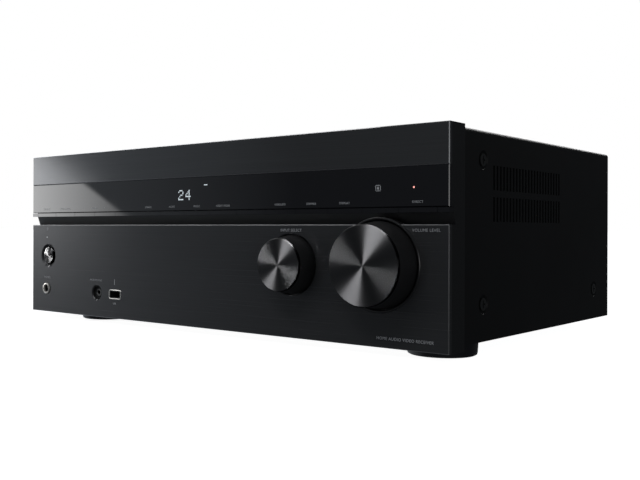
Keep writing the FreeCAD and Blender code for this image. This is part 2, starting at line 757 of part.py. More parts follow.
def base_chassis():
    """The steel pan: floor, side flanges and the wall behind the front."""
    body = new_body("base_chassis")
    start, end = f"({FRONT} + fascia_depth + fit_gap)", f"({REAR_FACE} - sheet - fit_gap)"
    half = "(cover_half - sheet - dimple_deep - fit_gap)"
    floor = block(f"-{half}", start, half, end)
    pad(body, "XY", BASE_LOW, BASE_HIGH, [floor])
    sides = [
        block(f"-{half}", start, f"-{half} + sheet", end),
        block(f"{half} - sheet", start, half, end),
    ]
    pad(body, "XY", BASE_HIGH, f"({BASE_LOW} + flange)", sides)
    wall = f"({FRONT} + wall_place)"
    upright = block(f"-{half} + sheet", f"{BASE_HIGH} - 0.5", f"{half} - sheet", "wall_high")
    pad(body, "XZ", wall, f"({wall} + sheet)", [upright])
    window = [
        block("-60", f"{STRIP_LOW} - 1", "120", "128"),
        block("-208", "11", "-80", "40"),
    ]
    pocket(body, "XZ", f"{wall} - 1", f"({wall} + 2 * sheet)", window)
    holes = [(f"{FRONT} + {y}", f"foot_drop + {z}", "2.2") for y, z in screw_spots()[1:]]
    pocket(body, "YZ", f"-{HALF}", HALF, circles=holes)
    left = "floor_vent_left"
    vents = [
        block(left, f"{FRONT} + {y}", f"{left} + vent_slot * 1.5", f"{FRONT} + {y} + floor_vent_long")
        for y in FLOOR_VENT_ROWS
    ]
    slots = pocket(body, "XY", f"{BASE_LOW} - 1", f"{BASE_HIGH} + 1", vents)
    repeat(body, slots, "X", "vent_pitch * 2", FLOOR_SLOTS)
    node(body, "base_chassis")


def feet():
    """Two wide feet in front and two smaller ones behind, each with a soft pad."""
    spots = [
        ("left", "foot_left", "foot_front_place", "foot_radius"),
        ("right", "foot_right", "foot_front_place", "foot_radius"),
        ("rear_left", "-foot_rear", "foot_rear_place", "rear_foot_radius"),
        ("rear_right", "foot_rear", "foot_rear_place", "rear_foot_radius"),
    ]
    pieces = []
    for name, x, depth, radius in spots:
        profile = [
            ("0", "0"),
            (f"{radius} - 1.2", "0"),
            (radius, "1.2"),
            (f"{radius} + 0.5", BASE_LOW),
            ("0", BASE_LOW),
        ]
        pieces.append(place(turned(f"foot_{name}", profile, "XZ"), x, f"{FRONT} + {depth}", "0"))
    node(group("feet", pieces), "feet")


def screw(name, start, axis, reach):
    """A pan-head screw with a cross recess. It stands proud along the axis and reaches back from start."""
    head, shank = "1.15", "7"
    x, y, z = start
    sign = "" if reach > 0 else "-"
    if axis == "x":
        head_start = (x if reach > 0 else f"{x} - {head}", y, z)
        shank_start = (f"{x} - {shank}" if reach > 0 else x, y, z)
        arms = [("0.7", "5", "1"), ("0.7", "1", "5")]
        middle = (f"{x} + {sign}({head} - 0.35)", y, z)
    else:
        head_start = (x, y, z)
        shank_start = (x, f"{y} - {shank}", z)
        arms = [("5", "0.7", "1"), ("1", "0.7", "5")]
        middle = (x, f"{y} + {head} - 0.35", z)
    solid = fuse(f"{name}_solid", [
        rod(f"{name}_head", "4.2", head, head_start, axis),
        rod(f"{name}_shank", "1.9", shank, shank_start, axis),
    ])
    arms = [centred_box(f"{name}_arm_{i}", size, middle) for i, size in enumerate(arms)]
    cross = fuse(f"{name}_cross", arms)
    return cut(name, solid, cross)


REAR_SCREWS = [("-205", "128"), ("205", "128"), ("-205", "22"), ("205", "22"), ("-150", "22"), ("40", "22")]


def screws():
    pieces = []
    sides = (("right", 1, "cover_half - dimple_deep"), ("left", -1, "-cover_half + dimple_deep"))
    for i, (y, z) in enumerate(screw_spots()):
        for side, reach, x in sides:
            pieces.append(screw(f"screw_{i}_{side}", (x, f"{FRONT} + {y}", f"foot_drop + {z}"), "x", reach))
    for i, (x, z) in enumerate(REAR_SCREWS):
        pieces.append(screw(f"screw_rear_{i}", (x, REAR_FACE, z), "y", 1))
    node(group("case_screws", pieces), "case_screws")


# ---------------------------------------------------------------- the rear

POST_COLUMNS = 5
RCA_COLUMNS, RCA_ROWS = 4, 3
HDMI_COUNT = 6


def post_places():
    """Name, x and z of every speaker terminal."""
    rows = (("negative", "post_low"), ("positive", "post_high"))
    columns = [(i + 1, f"(post_first + {i} * post_pitch)") for i in range(POST_COLUMNS)]
    return [(f"{number}_{sign}", x, z) for number, x in columns for sign, z in rows]


def rca_places():
    return [
        (f"(rca_first + {i} * rca_pitch)", f"(rca_low + {j} * rca_rise)")
        for i in range(RCA_COLUMNS)
        for j in range(RCA_ROWS)
    ]


def hdmi_places():
    return [f"(hdmi_first + {i} * hdmi_pitch)" for i in range(HDMI_COUNT)]


HDMI_UP = "(digital_height + board + 3)"
LAN = ("-30", "112")
OPTICAL = [("-62", "112"), ("-84", "112")]
AERIAL = ("-182", "118")
LOOP = ("-146", "118")


def around(x, z, wide, tall):
    """A rectangle about a point."""
    return block(f"{x} - {wide} / 2", f"{z} - {tall} / 2", f"{x} + {wide} / 2", f"{z} + {tall} / 2")


def rear_panel():
    body = new_body("rear_panel")
    low, high = f"({BASE_HIGH} + fit_gap)", f"({COVER_HIGH} - sheet - fit_gap)"
    half = "(cover_half - sheet - fit_gap)"
    inner = f"({REAR_FACE} - sheet)"
    corner = "2"
    outline = [
        (f"-{half}", low),
        (half, low),
        (half, f"{high} - {corner}"),
        (f"{half} - {corner}", high),
        (f"-({half} - {corner})", high),
        (f"-{half}", f"{high} - {corner}"),
    ]
    pad(body, "XZ", inner, REAR_FACE, [outline])
    circles = [(x, z, "stud_radius + 1.2") for _, x, z in post_places()]
    circles += [(x, z, "rca_radius + 0.2") for x, z in rca_places()]
    circles += [(x, z, "2.1") for x, z in REAR_SCREWS]
    circles.append((*AERIAL, "5"))
    outlines = [around(x, HDMI_UP, 15.4, 6) for x in hdmi_places()]
    outlines.append(around(*LAN, 16.4, 14.4))
    outlines += [around(x, z, 10.4, 10.4) for x, z in OPTICAL]
    outlines.append(around(*LOOP, 12.4, 8.4))
    outlines.append(around("inlet_across", "inlet_up", 27.4, 19.4))
    pocket(body, "XZ", f"{inner} - 1", f"{REAR_FACE} + 1", outlines, circles)
    vents = [block("-195", z, "-195 + vent_slot", f"{z} + 14") for z in (66, 84)]
    slots = pocket(body, "XZ", f"{inner} - 1", f"{REAR_FACE} + 1", vents)
    repeat(body, slots, "X", "vent_pitch", 9)
    node(body, "rear_panel")


def speaker_terminals():
    """One moulded block, ten hollow studs for banana plugs, and a screw cap on each."""
    first, last = "post_first", f"(post_first + {POST_COLUMNS - 1} * post_pitch)"
    collar_end = f"({REAR_FACE} + 3)"
    front = box(
        "terminal_front",
        (f"{last} - ({first}) + 24", "1.6", "post_high - post_low + 22"),
        (f"{first} - 12", REAR_FACE, "post_low - 11"),
    )
    collars = [
        rod(f"collar_{name}", "cap_radius + 0.6", "3", (x, REAR_FACE, z), "y")
        for name, x, z in post_places()
    ]
    seats = [
        rod(f"seat_{name}", "stud_radius", "12", (x, f"{REAR_FACE} - 5", z), "y")
        for name, x, z in post_places()
    ]
    plate = fuse("terminal_plate", [front, *collars])
    pieces = [cut("terminal_block", plate, fuse("terminal_seats", seats))]
    stud_long = f"({REAR} + post_reach - 1 - ({REAR_FACE} - 10))"
    for name, x, z in post_places():
        stud = rod(f"stud_{name}_rod", "stud_radius", stud_long, (x, f"{REAR_FACE} - 10", z), "y")
        bore = rod(f"stud_{name}_bore", "banana_radius", "14", (x, f"{REAR} + post_reach - 14", z), "y")
        pieces.append(cut(f"stud_{name}", stud, bore))
        cap_long = f"({REAR} + post_reach - ({collar_end} + 0.4))"
        profile = [
            ("stud_radius + shaft_play", "0"),
            ("cap_radius - 0.8", "0"),
            ("cap_radius", "0.8"),
            ("cap_radius", f"{cap_long} - 1"),
            ("cap_radius - 1", cap_long),
            ("stud_radius + shaft_play", cap_long),
        ]
        cap = turned(f"terminal_cap_{name}", profile)
        node(place(cap, x, f"{collar_end} + 0.4", z), f"terminal_cap_{name}")
    node(group("speaker_terminals", pieces), "speaker_terminals")


def rca_sockets():
    """Phono sockets: plated barrels in moulded columns behind the panel."""
    pieces = []
    for i in range(RCA_COLUMNS):
        x = f"(rca_first + {i} * rca_pitch)"
        size = ("13", "14", f"rca_rise * {RCA_ROWS}")
        middle = (x, f"{REAR_FACE} - sheet - 7", f"rca_low + rca_rise * {(RCA_ROWS - 1) / 2}")
        pieces.append(centred_box(f"rca_case_{i}", size, middle))
    for i, (x, z) in enumerate(rca_places()):
        barrel = rod(f"rca_{i}_rod", "rca_radius", "sheet + 9.5", (x, f"{REAR_FACE} - sheet", z), "y")
        bore = rod(f"rca_{i}_bore", "1.65", "9", (x, f"{REAR_FACE} + 9.5 - 8.5", z), "y")
        pieces.append(cut(f"rca_{i}", barrel, bore))
    node(group("rca_sockets", pieces), "rca_sockets")


def shell_socket(name, x, z, outer, mouth, reach):
    """A sheet-metal socket shell with an open mouth, proud of the rear panel by half a millimetre."""
    proud = "0.5"
    shell = box(
        f"{name}_shell",
        (outer[0], f"{reach} + {proud}", outer[1]),
        (f"{x} - {outer[0]} / 2", f"{REAR_FACE} - {reach}", f"{z} - {outer[1]} / 2"),
    )
    hole = box(
        f"{name}_mouth",
        (mouth[0], f"{reach}", mouth[1]),
        (f"{x} - {mouth[0]} / 2", f"{REAR_FACE} - {reach} + 1.5", f"{z} - {mouth[1]} / 2"),
    )
    return cut(name, shell, hole)


def data_sockets():
    """Digital video sockets in one node, network and optical sockets in another."""
    video = []
    for i, x in enumerate(hdmi_places()):
        video.append(shell_socket(f"hdmi_{i}", x, HDMI_UP, ("15", "5.6"), ("14", "4.6"), "11"))
        tongue_middle = (x, f"{REAR_FACE} - 6.8", f"{HDMI_UP} + 1.2")
        video.append(centred_box(f"hdmi_tongue_{i}", ("10.6", "5.4", "0.9"), tongue_middle))
    node(group("hdmi_ports", video), "hdmi_ports")
    data = [shell_socket("network_socket", *LAN, ("16", "14"), ("11.8", "9"), "17")]
    for i, (x, z) in enumerate(OPTICAL):
        data.append(shell_socket(f"optical_{i}", x, z, ("10", "10"), ("6.4", "6.4"), "12"))
    node(group("data_sockets", data), "data_sockets")


def aerial_terminals():
    x, z = AERIAL
    stub = rod("aerial_stub", "4.7", "10 + sheet", (x, f"{REAR_FACE} - sheet", z), "y")
    bore = rod("aerial_bore", "1.2", "9", (x, f"{REAR_FACE} + 2", z), "y")
    can = box("tuner_can", ("62", "30", "26"), ("-198", f"{REAR_FACE} - sheet - 30", "104"))
    loop = shell_socket("loop_socket", *LOOP, ("12", "8"), ("9", "5"), "6")
    notch = centred_box("tuner_notch", ("13", "12.4", "9"), (LOOP[0], f"{REAR_FACE} - 6", LOOP[1]))
    pieces = [cut("aerial_socket", stub, bore), cut("tuner", can, notch), loop]
    node(group("aerial_terminals", pieces), "aerial_terminals")


def ac_inlet():
    """A three-pin mains inlet with a flange outside the panel."""
    x, z = "inlet_across", "inlet_up"
    solid = fuse(
        "inlet_solid",
        [
            centred_box("inlet_flange", ("48", "2.5", "23"), (x, f"{REAR_FACE} + 1.25", z)),
            centred_box("inlet_case", ("27", "20", "19"), (x, f"{REAR_FACE} - 9", z)),
        ],
    )
    mouth = centred_box("inlet_mouth", ("24", "18", "16"), (x, f"{REAR_FACE} - 5", z))
    pieces = [cut("inlet_shell", solid, mouth)]
    for i, (dx, dz) in enumerate(((-7, -2), (7, -2), (0, 2))):
        pin_middle = (f"{x} + {dx}", f"{REAR_FACE} - 7", f"{z} + {dz}")
        pieces.append(centred_box(f"inlet_pin_{i}", ("2", "14", "4"), pin_middle))
    node(group("ac_inlet", pieces), "ac_inlet")


# ---------------------------------------------------------------- inside


def transformer():
    x, y, z = "core_across", f"({FRONT} + core_place)", f"({BASE_HIGH} + core_tall / 2)"
    steel = centred_box("core_steel", ("core_wide", "core_deep", "core_tall"), (x, y, z))
    offset = "(core_limb / 2 + core_window / 2)"
    size = ("core_window", "core_deep + 2", "coil_tall")
    left = centred_box("core_window_left", size, (f"{x} - {offset}", y, z))
    right = centred_box("core_window_right", size, (f"{x} + {offset}", y, z))
    node(cut("transformer_core", steel, fuse("core_windows", [left, right])), "transformer_core")
    wound = ("core_limb + 2 * core_window - 0.2", "core_deep + 2 * coil_bulge", "coil_tall - 0.2")
    outer = centred_box("coil_outer", wound, (x, y, z))
    limb = centred_box("coil_limb", ("core_limb + 0.2", "core_deep", "coil_tall + 2"), (x, y, z))
    node(cut("transformer_coil", outer, limb), "transformer_coil")


FIN_COUNT = 23


def heat_sink():
    """An extrusion with its fins towards the front, and the output transistors on its back."""
    body = new_body("heat_sink")
    low, front = f"({BASE_HIGH} + 4)", f"({FRONT} + sink_place)"
    high, right = f"({low} + sink_tall)", "(sink_left + sink_wide)"
    pad(body, "XY", low, high, [block("sink_left", front, right, f"{front} + sink_plate")])
    first_fin = block("sink_left", f"{front} - fin_deep", "sink_left + fin_thick", front)
    repeat(body, pad(body, "XY", low, high, [first_fin]), "X", "fin_pitch", FIN_COUNT)
    node(body, "heat_sink")
    chips = []
    for i in range(2 * POST_COLUMNS):
        x = f"sink_left + chip_first + {i} * chip_pitch"
        y = f"{front} + sink_plate + chip_thick / 2"
        chips.append(centred_box(f"chip_{i}", ("16", "chip_thick", "20"), (x, y, f"{low} + 40")))
        chips.append(centred_box(f"chip_leg_{i}", ("9", "0.6", "18"), (x, y, f"{low} + 21")))
    node(group("power_transistors", chips), "power_transistors")


def amplifier_board():
    """The main board on its standoffs, its relays, and the two filter capacitors."""
    top = "(amp_height + board)"
    y = f"({FRONT} + amp_place)"
    pieces = [box("main_card", ("amp_wide", "amp_deep", "board"), ("amp_left", y, "amp_height"))]
    for i, (dx, dy) in enumerate(((6, 6), (294, 6), (6, 130), (294, 130), (150, 130))):
        start = (f"amp_left + {dx}", f"{y} + {dy}", BASE_HIGH)
        pieces.append(rod(f"standoff_{i}", "3", f"amp_height - {BASE_HIGH}", start, "z"))
    for i in range(POST_COLUMNS):
        start = (f"amp_left + 16 + {34 * i}", f"{y} + 84", top)
        pieces.append(box(f"relay_{i}", ("24", "16", "20"), start))
    node(group("amplifier_board", pieces), "amplifier_board")
    tubs = []
    for i in range(2):
        middle = (f"amp_left + 36 + {42 * i}", f"{y} + 40", top)
        tubs.append(rod(f"reservoir_{i}", "cap_wide", "cap_tall", middle, "z"))
    node(group("filter_capacitors", tubs), "filter_capacitors")


def digital_board():
    """The video and processing board on four posts above the main board."""
    y = f"({FRONT} + digital_place)"
    corner = ("digital_left", y, "digital_height")
    pieces = [box("digital_card", ("digital_wide", "digital_deep", "board"), corner)]
    for i, (dx, dy) in enumerate(((8, 8), (182, 8), (8, 82), (182, 82))):
        start = (f"digital_left + {dx}", f"{y} + {dy}", "amp_height + board")
        pieces.append(rod(f"pillar_{i}", "3", "digital_height - amp_height - board", start, "z"))
    chips = ((40, 40, 27, 2.4), (90, 36, 21, 2), (130, 44, 17, 2), (160, 30, 12, 1.6))
    for i, (dx, dy, side, tall) in enumerate(chips):
        start = (f"digital_left + {dx}", f"{y} + {dy}", "digital_height + board")
        pieces.append(box(f"chip_square_{i}", (side, side, tall), start))
    node(group("digital_board", pieces), "digital_board")


def ribbon_cable():
    """A flat cable from the display board, over the chassis wall, to the digital board."""
    rise = [(24.1, 124), (33, 124), (37, 138)]
    run = [(48, 139), (110, 137.5), (168, 134), (186, 120), (200, 118.4)]
    upper = [(f"{FRONT} + {y}", f"{z}") for y, z in rise + run]
    lower = [(f"{FRONT} + {y}", f"{z} - ribbon_thick") for y, z in rise[:1] + run]
    lower[1:1] = [(f"{FRONT} + {y} + ribbon_thick", f"{z} - ribbon_thick") for y, z in rise[1:]]
    corners = upper + lower[::-1]
    body = new_body("ribbon_cable")
    pad(body, "YZ", "70", "104", [corners])
    node(body, "ribbon_cable")


def write_parts():
    """Stops at the first failed object, then writes one STEP file for each sub-part."""
    DOC.recompute()
    for item in DOC.Objects:
        if "Invalid" in item.State or "Error" in item.State:
            raise SystemExit(f"{item.Label} failed: {item.State} {item.getStatusString()}")
    os.makedirs("parts", exist_ok=True)
    for item in NODES:
        shape = item.Shape
        if shape.isNull() or not shape.isValid() or not shape.Solids:
            raise SystemExit(f"{item.Label} has no valid solid")
        shape.exportStep(f"parts/{item.Label}.step")
        print(f"{item.Label}: {len(shape.Solids)} solids, {shape.Volume:.0f} mm3")
    print(len(NODES), "nodes")


front_plates()
front_fascia()
button_strip()
power_button()
knob("volume", "volume_across", "volume_up", "volume_radius", "knob_reach")
knob("selector", "selector_across", "selector_up", "selector_radius", "selector_reach")
volume_ring()
rotary_encoders()
front_sockets()
display()
top_cover()
base_chassis()
feet()
screws()
rear_panel()
speaker_terminals()
rca_sockets()
data_sockets()
aerial_terminals()
ac_inlet()
transformer()
heat_sink()
amplifier_board()
digital_board()
ribbon_cable()
write_parts()
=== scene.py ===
import json
import math
import random

import bmesh
import bpy
from mathutils import Matrix, Vector

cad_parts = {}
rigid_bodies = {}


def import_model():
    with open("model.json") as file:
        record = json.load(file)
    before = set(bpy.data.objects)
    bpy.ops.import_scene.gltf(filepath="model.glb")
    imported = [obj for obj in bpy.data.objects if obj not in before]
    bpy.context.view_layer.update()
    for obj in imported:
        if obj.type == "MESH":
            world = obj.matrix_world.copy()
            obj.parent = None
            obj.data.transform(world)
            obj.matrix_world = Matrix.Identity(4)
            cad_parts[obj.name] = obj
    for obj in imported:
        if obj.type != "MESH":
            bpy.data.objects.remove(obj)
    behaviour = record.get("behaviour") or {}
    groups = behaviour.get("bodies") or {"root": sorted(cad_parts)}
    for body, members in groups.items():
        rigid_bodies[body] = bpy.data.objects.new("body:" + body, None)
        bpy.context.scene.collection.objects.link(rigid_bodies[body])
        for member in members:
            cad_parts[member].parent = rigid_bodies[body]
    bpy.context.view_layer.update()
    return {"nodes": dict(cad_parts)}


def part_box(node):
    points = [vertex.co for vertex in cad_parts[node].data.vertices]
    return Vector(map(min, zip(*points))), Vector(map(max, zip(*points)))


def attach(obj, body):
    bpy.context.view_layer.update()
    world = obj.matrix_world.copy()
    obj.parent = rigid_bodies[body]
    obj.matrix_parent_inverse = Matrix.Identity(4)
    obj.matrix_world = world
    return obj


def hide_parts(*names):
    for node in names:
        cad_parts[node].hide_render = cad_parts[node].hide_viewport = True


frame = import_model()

MM = 0.001
NODES = frame["nodes"]
FRONT_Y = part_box("lower_panel")[0].y
PANEL_BACK_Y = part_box("rear_panel")[1].y

# ---------------------------------------------------------------- camera, floor and light

CAMERA_PLACE = Vector((0.4655, -0.6059, 0.0814))
CAMERA_YAW = math.radians(40.914)
CAMERA_ROLL = math.radians(0.19)
CAMERA_LENS = 48.15
CAMERA_SHIFT = (0.1, -0.0171)


def make_camera():
    """A level camera in front of the right corner, as high as the middle of the receiver."""
    forward = Vector((-math.sin(CAMERA_YAW), math.cos(CAMERA_YAW), 0))
    level = Vector((math.cos(CAMERA_YAW), math.sin(CAMERA_YAW), 0))
    up = Vector((0, 0, 1))
    right = level * math.cos(CAMERA_ROLL) + up * math.sin(CAMERA_ROLL)
    top = up * math.cos(CAMERA_ROLL) - level * math.sin(CAMERA_ROLL)
    data = bpy.data.cameras.new("camera")
    data.lens = CAMERA_LENS
    data.shift_x, data.shift_y = CAMERA_SHIFT
    data.clip_start = 0.01
    camera = bpy.data.objects.new("camera", data)
    turn = Matrix((right, top, -forward)).transposed().to_4x4()
    camera.matrix_world = Matrix.Translation(CAMERA_PLACE) @ turn
    bpy.context.scene.collection.objects.link(camera)
    bpy.context.scene.camera = camera


def softbox(name, place, target, size, radiance, screen=None):
    """A rectangular soft light that faces a target. A screen is a function that shades its node tree."""
    data = bpy.data.lights.new(name, "AREA")
    data.shape = "RECTANGLE"
    data.size, data.size_y = size
    data.energy = radiance * math.pi * size[0] * size[1]
    light = bpy.data.objects.new(name, data)
    light.location = place
    light.rotation_euler = (Vector(target) - Vector(place)).to_track_quat("-Z", "Y").to_euler()
    bpy.context.scene.collection.objects.link(light)
    if screen:
        data.use_nodes = True
        screen(data.node_tree)
    return light


def node_adder(tree):
    """A function that adds a node to a tree, fills its first sockets and gives its outputs."""
    def add(kind, *values, **properties):
        node = tree.nodes.new("ShaderNode" + kind)
        for key, value in properties.items():
            setattr(node, key, value)
        for socket, value in zip(node.inputs, values):
            if isinstance(value, bpy.types.NodeSocket):
                tree.links.new(value, socket)
            else:
                socket.default_value = value
        return node.outputs

    return add


# The slant rises from its start on the right, as shares of the light's width and height, with a soft edge.
SCREEN_SLOPE, SCREEN_START, SCREEN_EDGE = 1.73, 0.06, 0.03
# The strength at the right end, and what it reaches after the fade's share of the width.
SCREEN_DIM, SCREEN_BRIGHT, SCREEN_FADE = 0.6, 6.2, 0.33


def slanted_screen(tree):
    """Fades a light towards its right end and cuts it off above a rising slant."""
    add = node_adder(tree)
    across = add("SeparateXYZ", add("NewGeometry")["Parametric"])
    from_right = add("Math", 1.0, across["X"], operation="SUBTRACT")[0]
    slant = add("Math", from_right, SCREEN_SLOPE, SCREEN_START, operation="MULTIPLY_ADD")[0]
    under = add("Math", slant, across["Y"], operation="SUBTRACT")[0]
    mask = add("MapRange", under, 0.0, SCREEN_EDGE, 0.0, 1.0)[0]
    level = add("MapRange", from_right, 0.0, SCREEN_FADE, SCREEN_DIM, SCREEN_BRIGHT)[0]
    strength = add("Math", level, mask, operation="MULTIPLY")[0]
    tree.links.new(strength, tree.nodes["Emission"].inputs["Strength"])


WORLD_COLOUR = (0.86, 0.93, 1, 1)
WORLD_FRONT, WORLD_BACK, WORLD_LEFT, WORLD_HIGH = 0.115, 0.05, 0.4, 0.05
FLOOR_GLOW, FLOOR_LIGHT = 0.96, 0.35


def make_world():
    """White to the camera. Around the object it is dim, brighter at the left and in front."""
    world = bpy.data.worlds.new("studio")
    world.use_nodes = True
    tree = world.node_tree
    tree.nodes.clear()
    add = node_adder(tree)
    # The ranges are of the direction's parts: Y from front to back, X from the left, Z upward.
    direction = add("SeparateXYZ", add("TexCoord")["Generated"])
    front = add("MapRange", direction["Y"], -0.9, 0.6, WORLD_FRONT, WORLD_BACK)[0]
    left = add("MapRange", direction["X"], -0.62, -0.78, 0.0, WORLD_LEFT)[0]
    high = add("MapRange", direction["Z"], 0.1, 0.9, 0.0, WORLD_HIGH)[0]
    level = add("Math", add("Math", front, left)[0], high)[0]
    around = add("Background", WORLD_COLOUR, level)[0]
    seen = add("Background", (1, 1, 1, 1), 1.0)[0]
    mix = add("MixShader", add("LightPath")["Is Camera Ray"], around, seen)[0]
    add("OutputWorld", mix)
    bpy.context.scene.world = world
    bpy.context.scene.view_settings.view_transform = "Standard"


RECEIVER_MIDDLE = (0, 0, 0.07)
KNOBS_MIDDLE = (0.16, -0.14, 0.06)
# The left light faces the camera's mirror image in the front, so that the window shows it.
MIRRORED_CAMERA = (CAMERA_PLACE.x, 2 * FRONT_Y - CAMERA_PLACE.y, 0.3)
# Name, place, target, width and height in metres, and radiance.
LEFT_LIGHT = ("left_light", (-1.71, -0.902, 0.3), MIRRORED_CAMERA, (1.017, 0.44), 1)
ROOM_LIGHTS = [
    ("front_light", (-0.05, -1.05, 1.35), (0.1, -0.14, 0.06), (1.1, 0.3), 5),
    ("ridge_light", (-1.05, -0.1, 1.15), RECEIVER_MIDDLE, (0.5, 1.0), 3),
    ("right_light", (1.6, -0.85, 0.2), RECEIVER_MIDDLE, (0.5, 0.5), 3),
    ("back_light", (-0.3, 1.6, 1.1), RECEIVER_MIDDLE, (1.4, 0.8), 6),
]
SPUN_LIGHTS = [
    ("knob_light", (-0.1, -1.05, 1.3), KNOBS_MIDDLE, (1.0, 0.3), 1000),
    ("knob_side_light", (-1.5, -0.62, 0.36), KNOBS_MIDDLE, (0.4, 0.6), 85),
]
# How much of a mirror each spun face is.
SPUN_FACES = {"volume_knob_face": 0.035, "selector_knob_face": 0.035, "power_button": 0.013}


def link_lights(lights, receivers, left_out=False):
    """Lets lights reach only the receivers or, with left_out, everything but them."""
    group = bpy.data.collections.new("lit")
    for receiver in receivers:
        group.objects.link(receiver)
    if left_out:
        for entry in group.collection_objects:
            entry.light_linking.link_state = "EXCLUDE"
    for light in lights:
        light.light_linking.receiver_collection = group


def make_lights(floor):
    """Soft lights for the receiver, two more for its spun faces, and an even one for the floor alone."""
    room = [softbox(*LEFT_LIGHT, slanted_screen)] + [softbox(*light) for light in ROOM_LIGHTS]
    link_lights(room, [floor], left_out=True)
    link_lights([softbox(*light) for light in SPUN_LIGHTS], [NODES[name] for name in SPUN_FACES])
    data = bpy.data.lights.new("floor_light", "SUN")
    data.energy = FLOOR_LIGHT
    data.angle = math.radians(150)
    even = bpy.data.objects.new("floor_light", data)
    bpy.context.scene.collection.objects.link(even)
    link_lights([even], [floor])


FLOOR_HALF = 40.0


def make_floor():
    """A wide sheet of white paper, which reflections don't show."""
    mesh = bpy.data.meshes.new("floor")
    corners = [(x * FLOOR_HALF, y * FLOOR_HALF, 0) for x, y in ((-1, -1), (1, -1), (1, 1), (-1, 1))]
    mesh.from_pydata(corners, [], [(0, 1, 2, 3)])
    floor = bpy.data.objects.new("floor", mesh)
    bpy.context.scene.collection.objects.link(floor)
    paper = Surface("floor_paper", roughness=0.9, glow=(1, 1, 1), glow_strength=FLOOR_GLOW)
    grain = paper.noise(paper.stretched(60, 60, 60), 4, 6)
    paper.tint(grain, (0.84, 0.84, 0.84), (0.88, 0.88, 0.88))
    mesh.materials.append(paper.material)
    floor.visible_glossy = False
    floor.visible_diffuse = False
    return floor


# ---------------------------------------------------------------- materials

SOCKETS = {
    "base": "Base Color",
    "metallic": "Metallic",
    "roughness": "Roughness",
    "ior": "IOR",
    "specular": "Specular IOR Level",
    "anisotropy": "Anisotropic",
    "turn": "Anisotropic Rotation",
    "tangent": "Tangent",
    "glow": "Emission Color",
    "glow_strength": "Emission Strength",
}


class Surface:
    """A node material: a Principled shader and the textures that feed it."""

    def __init__(self, name, **settings):
        self.material = bpy.data.materials.new(name)
        self.material.use_nodes = True
        self.tree = self.material.node_tree
        self.shader = self.tree.nodes["Principled BSDF"]
        for key, value in settings.items():
            if isinstance(value, tuple):
                value = (*value, 1)
            self.shader.inputs[SOCKETS[key]].default_value = value

    def add(self, kind, values=(), **properties):
        """Adds a node. Values fill its first sockets, as numbers or as links."""
        node = self.tree.nodes.new("ShaderNode" + kind)
        for key, value in properties.items():
            setattr(node, key, value)
        for socket, value in zip(node.inputs, values):
            self.feed(socket, value)
        return node

    def feed(self, socket, value):
        if isinstance(value, bpy.types.NodeSocket):
            self.tree.links.new(value, socket)
        elif value is not None:
            socket.default_value = value

    def set_input(self, key, value):
        """Sets or links one of the shader's sockets."""
        self.feed(self.shader.inputs[SOCKETS[key]], value)

    def stretched(self, x, y, z):
        """Object coordinates, in metres, multiplied along each axis."""
        place = self.add("TexCoord").outputs["Object"]
        return self.add("VectorMath", (place, (x, y, z)), operation="MULTIPLY").outputs[0]

    def noise(self, vector, scale, detail=2, rough=0.5):
        node = self.add("TexNoise")
        for key, value in (("Vector", vector), ("Scale", scale), ("Detail", detail), ("Roughness", rough)):
            self.feed(node.inputs[key], value)
        return node.outputs["Fac"]

    def math(self, operation, *values):
        return self.add("Math", values, operation=operation).outputs[0]

    def spread(self, value, low, high, start=0.0, end=1.0):
        """Maps a value from low..high to start..end, clamped."""
        return self.add("MapRange", (value, low, high, start, end)).outputs[0]

    def mixed(self, share, first, second):
        """A colour between two colours."""
        node = self.add("Mix", data_type="RGBA")
        self.feed(node.inputs["Factor"], share)
        for socket, colour in zip((node.inputs[6], node.inputs[7]), (first, second)):
            self.feed(socket, (*colour, 1) if isinstance(colour, tuple) else colour)
        return node.outputs[2]

    def tint(self, share, first, second):
        """Colours the surface between two colours."""
        self.set_input("base", self.mixed(share, first, second))

    def vary_roughness(self, share, low, high):
        """Spreads the roughness over the middle of a noise's range."""
        self.set_input("roughness", self.spread(share, 0.3, 0.7, low, high))

    def bump(self, height, depth, strength=1.0):
        """Raises the surface by a height of 0 to 1, depth metres deep."""
        node = self.add("Bump")
        for key, value in (("Strength", strength), ("Distance", depth), ("Height", height)):
            self.feed(node.inputs[key], value)
        if self.shader.inputs["Normal"].is_linked:
            self.feed(node.inputs["Normal"], self.shader.inputs["Normal"].links[0].from_socket)
        self.feed(self.shader.inputs["Normal"], node.outputs[0])

    def facing(self, axis):
        """How much the surface's true normal points along an axis, as an absolute value."""
        normal = self.add("NewGeometry").outputs["True Normal"]
        part = self.add("SeparateXYZ", (normal,)).outputs[axis]
        return self.math("ABSOLUTE", part)

    def ring_distance(self, centre):
        """Distance from an axis along Y through a centre, in metres."""
        place = self.add("TexCoord").outputs["Object"]
        offset = self.add("VectorMath", (place, tuple(centre)), operation="SUBTRACT").outputs[0]
        flat = self.add("VectorMath", (offset, (1, 0, 1)), operation="MULTIPLY").outputs[0]
        return self.add("VectorMath", (flat,), operation="LENGTH").outputs["Value"]


def dress(surface, *nodes):
    """Gives CAD nodes a material."""
    for name in nodes:
        node = NODES[name]
        if not node.material_slots:
            node.data.materials.append(surface.material)
        for place in node.material_slots:
            place.material = surface.material


def shaded(base, factor):
    """A colour made darker or lighter by a factor."""
    return tuple(factor * c for c in base)


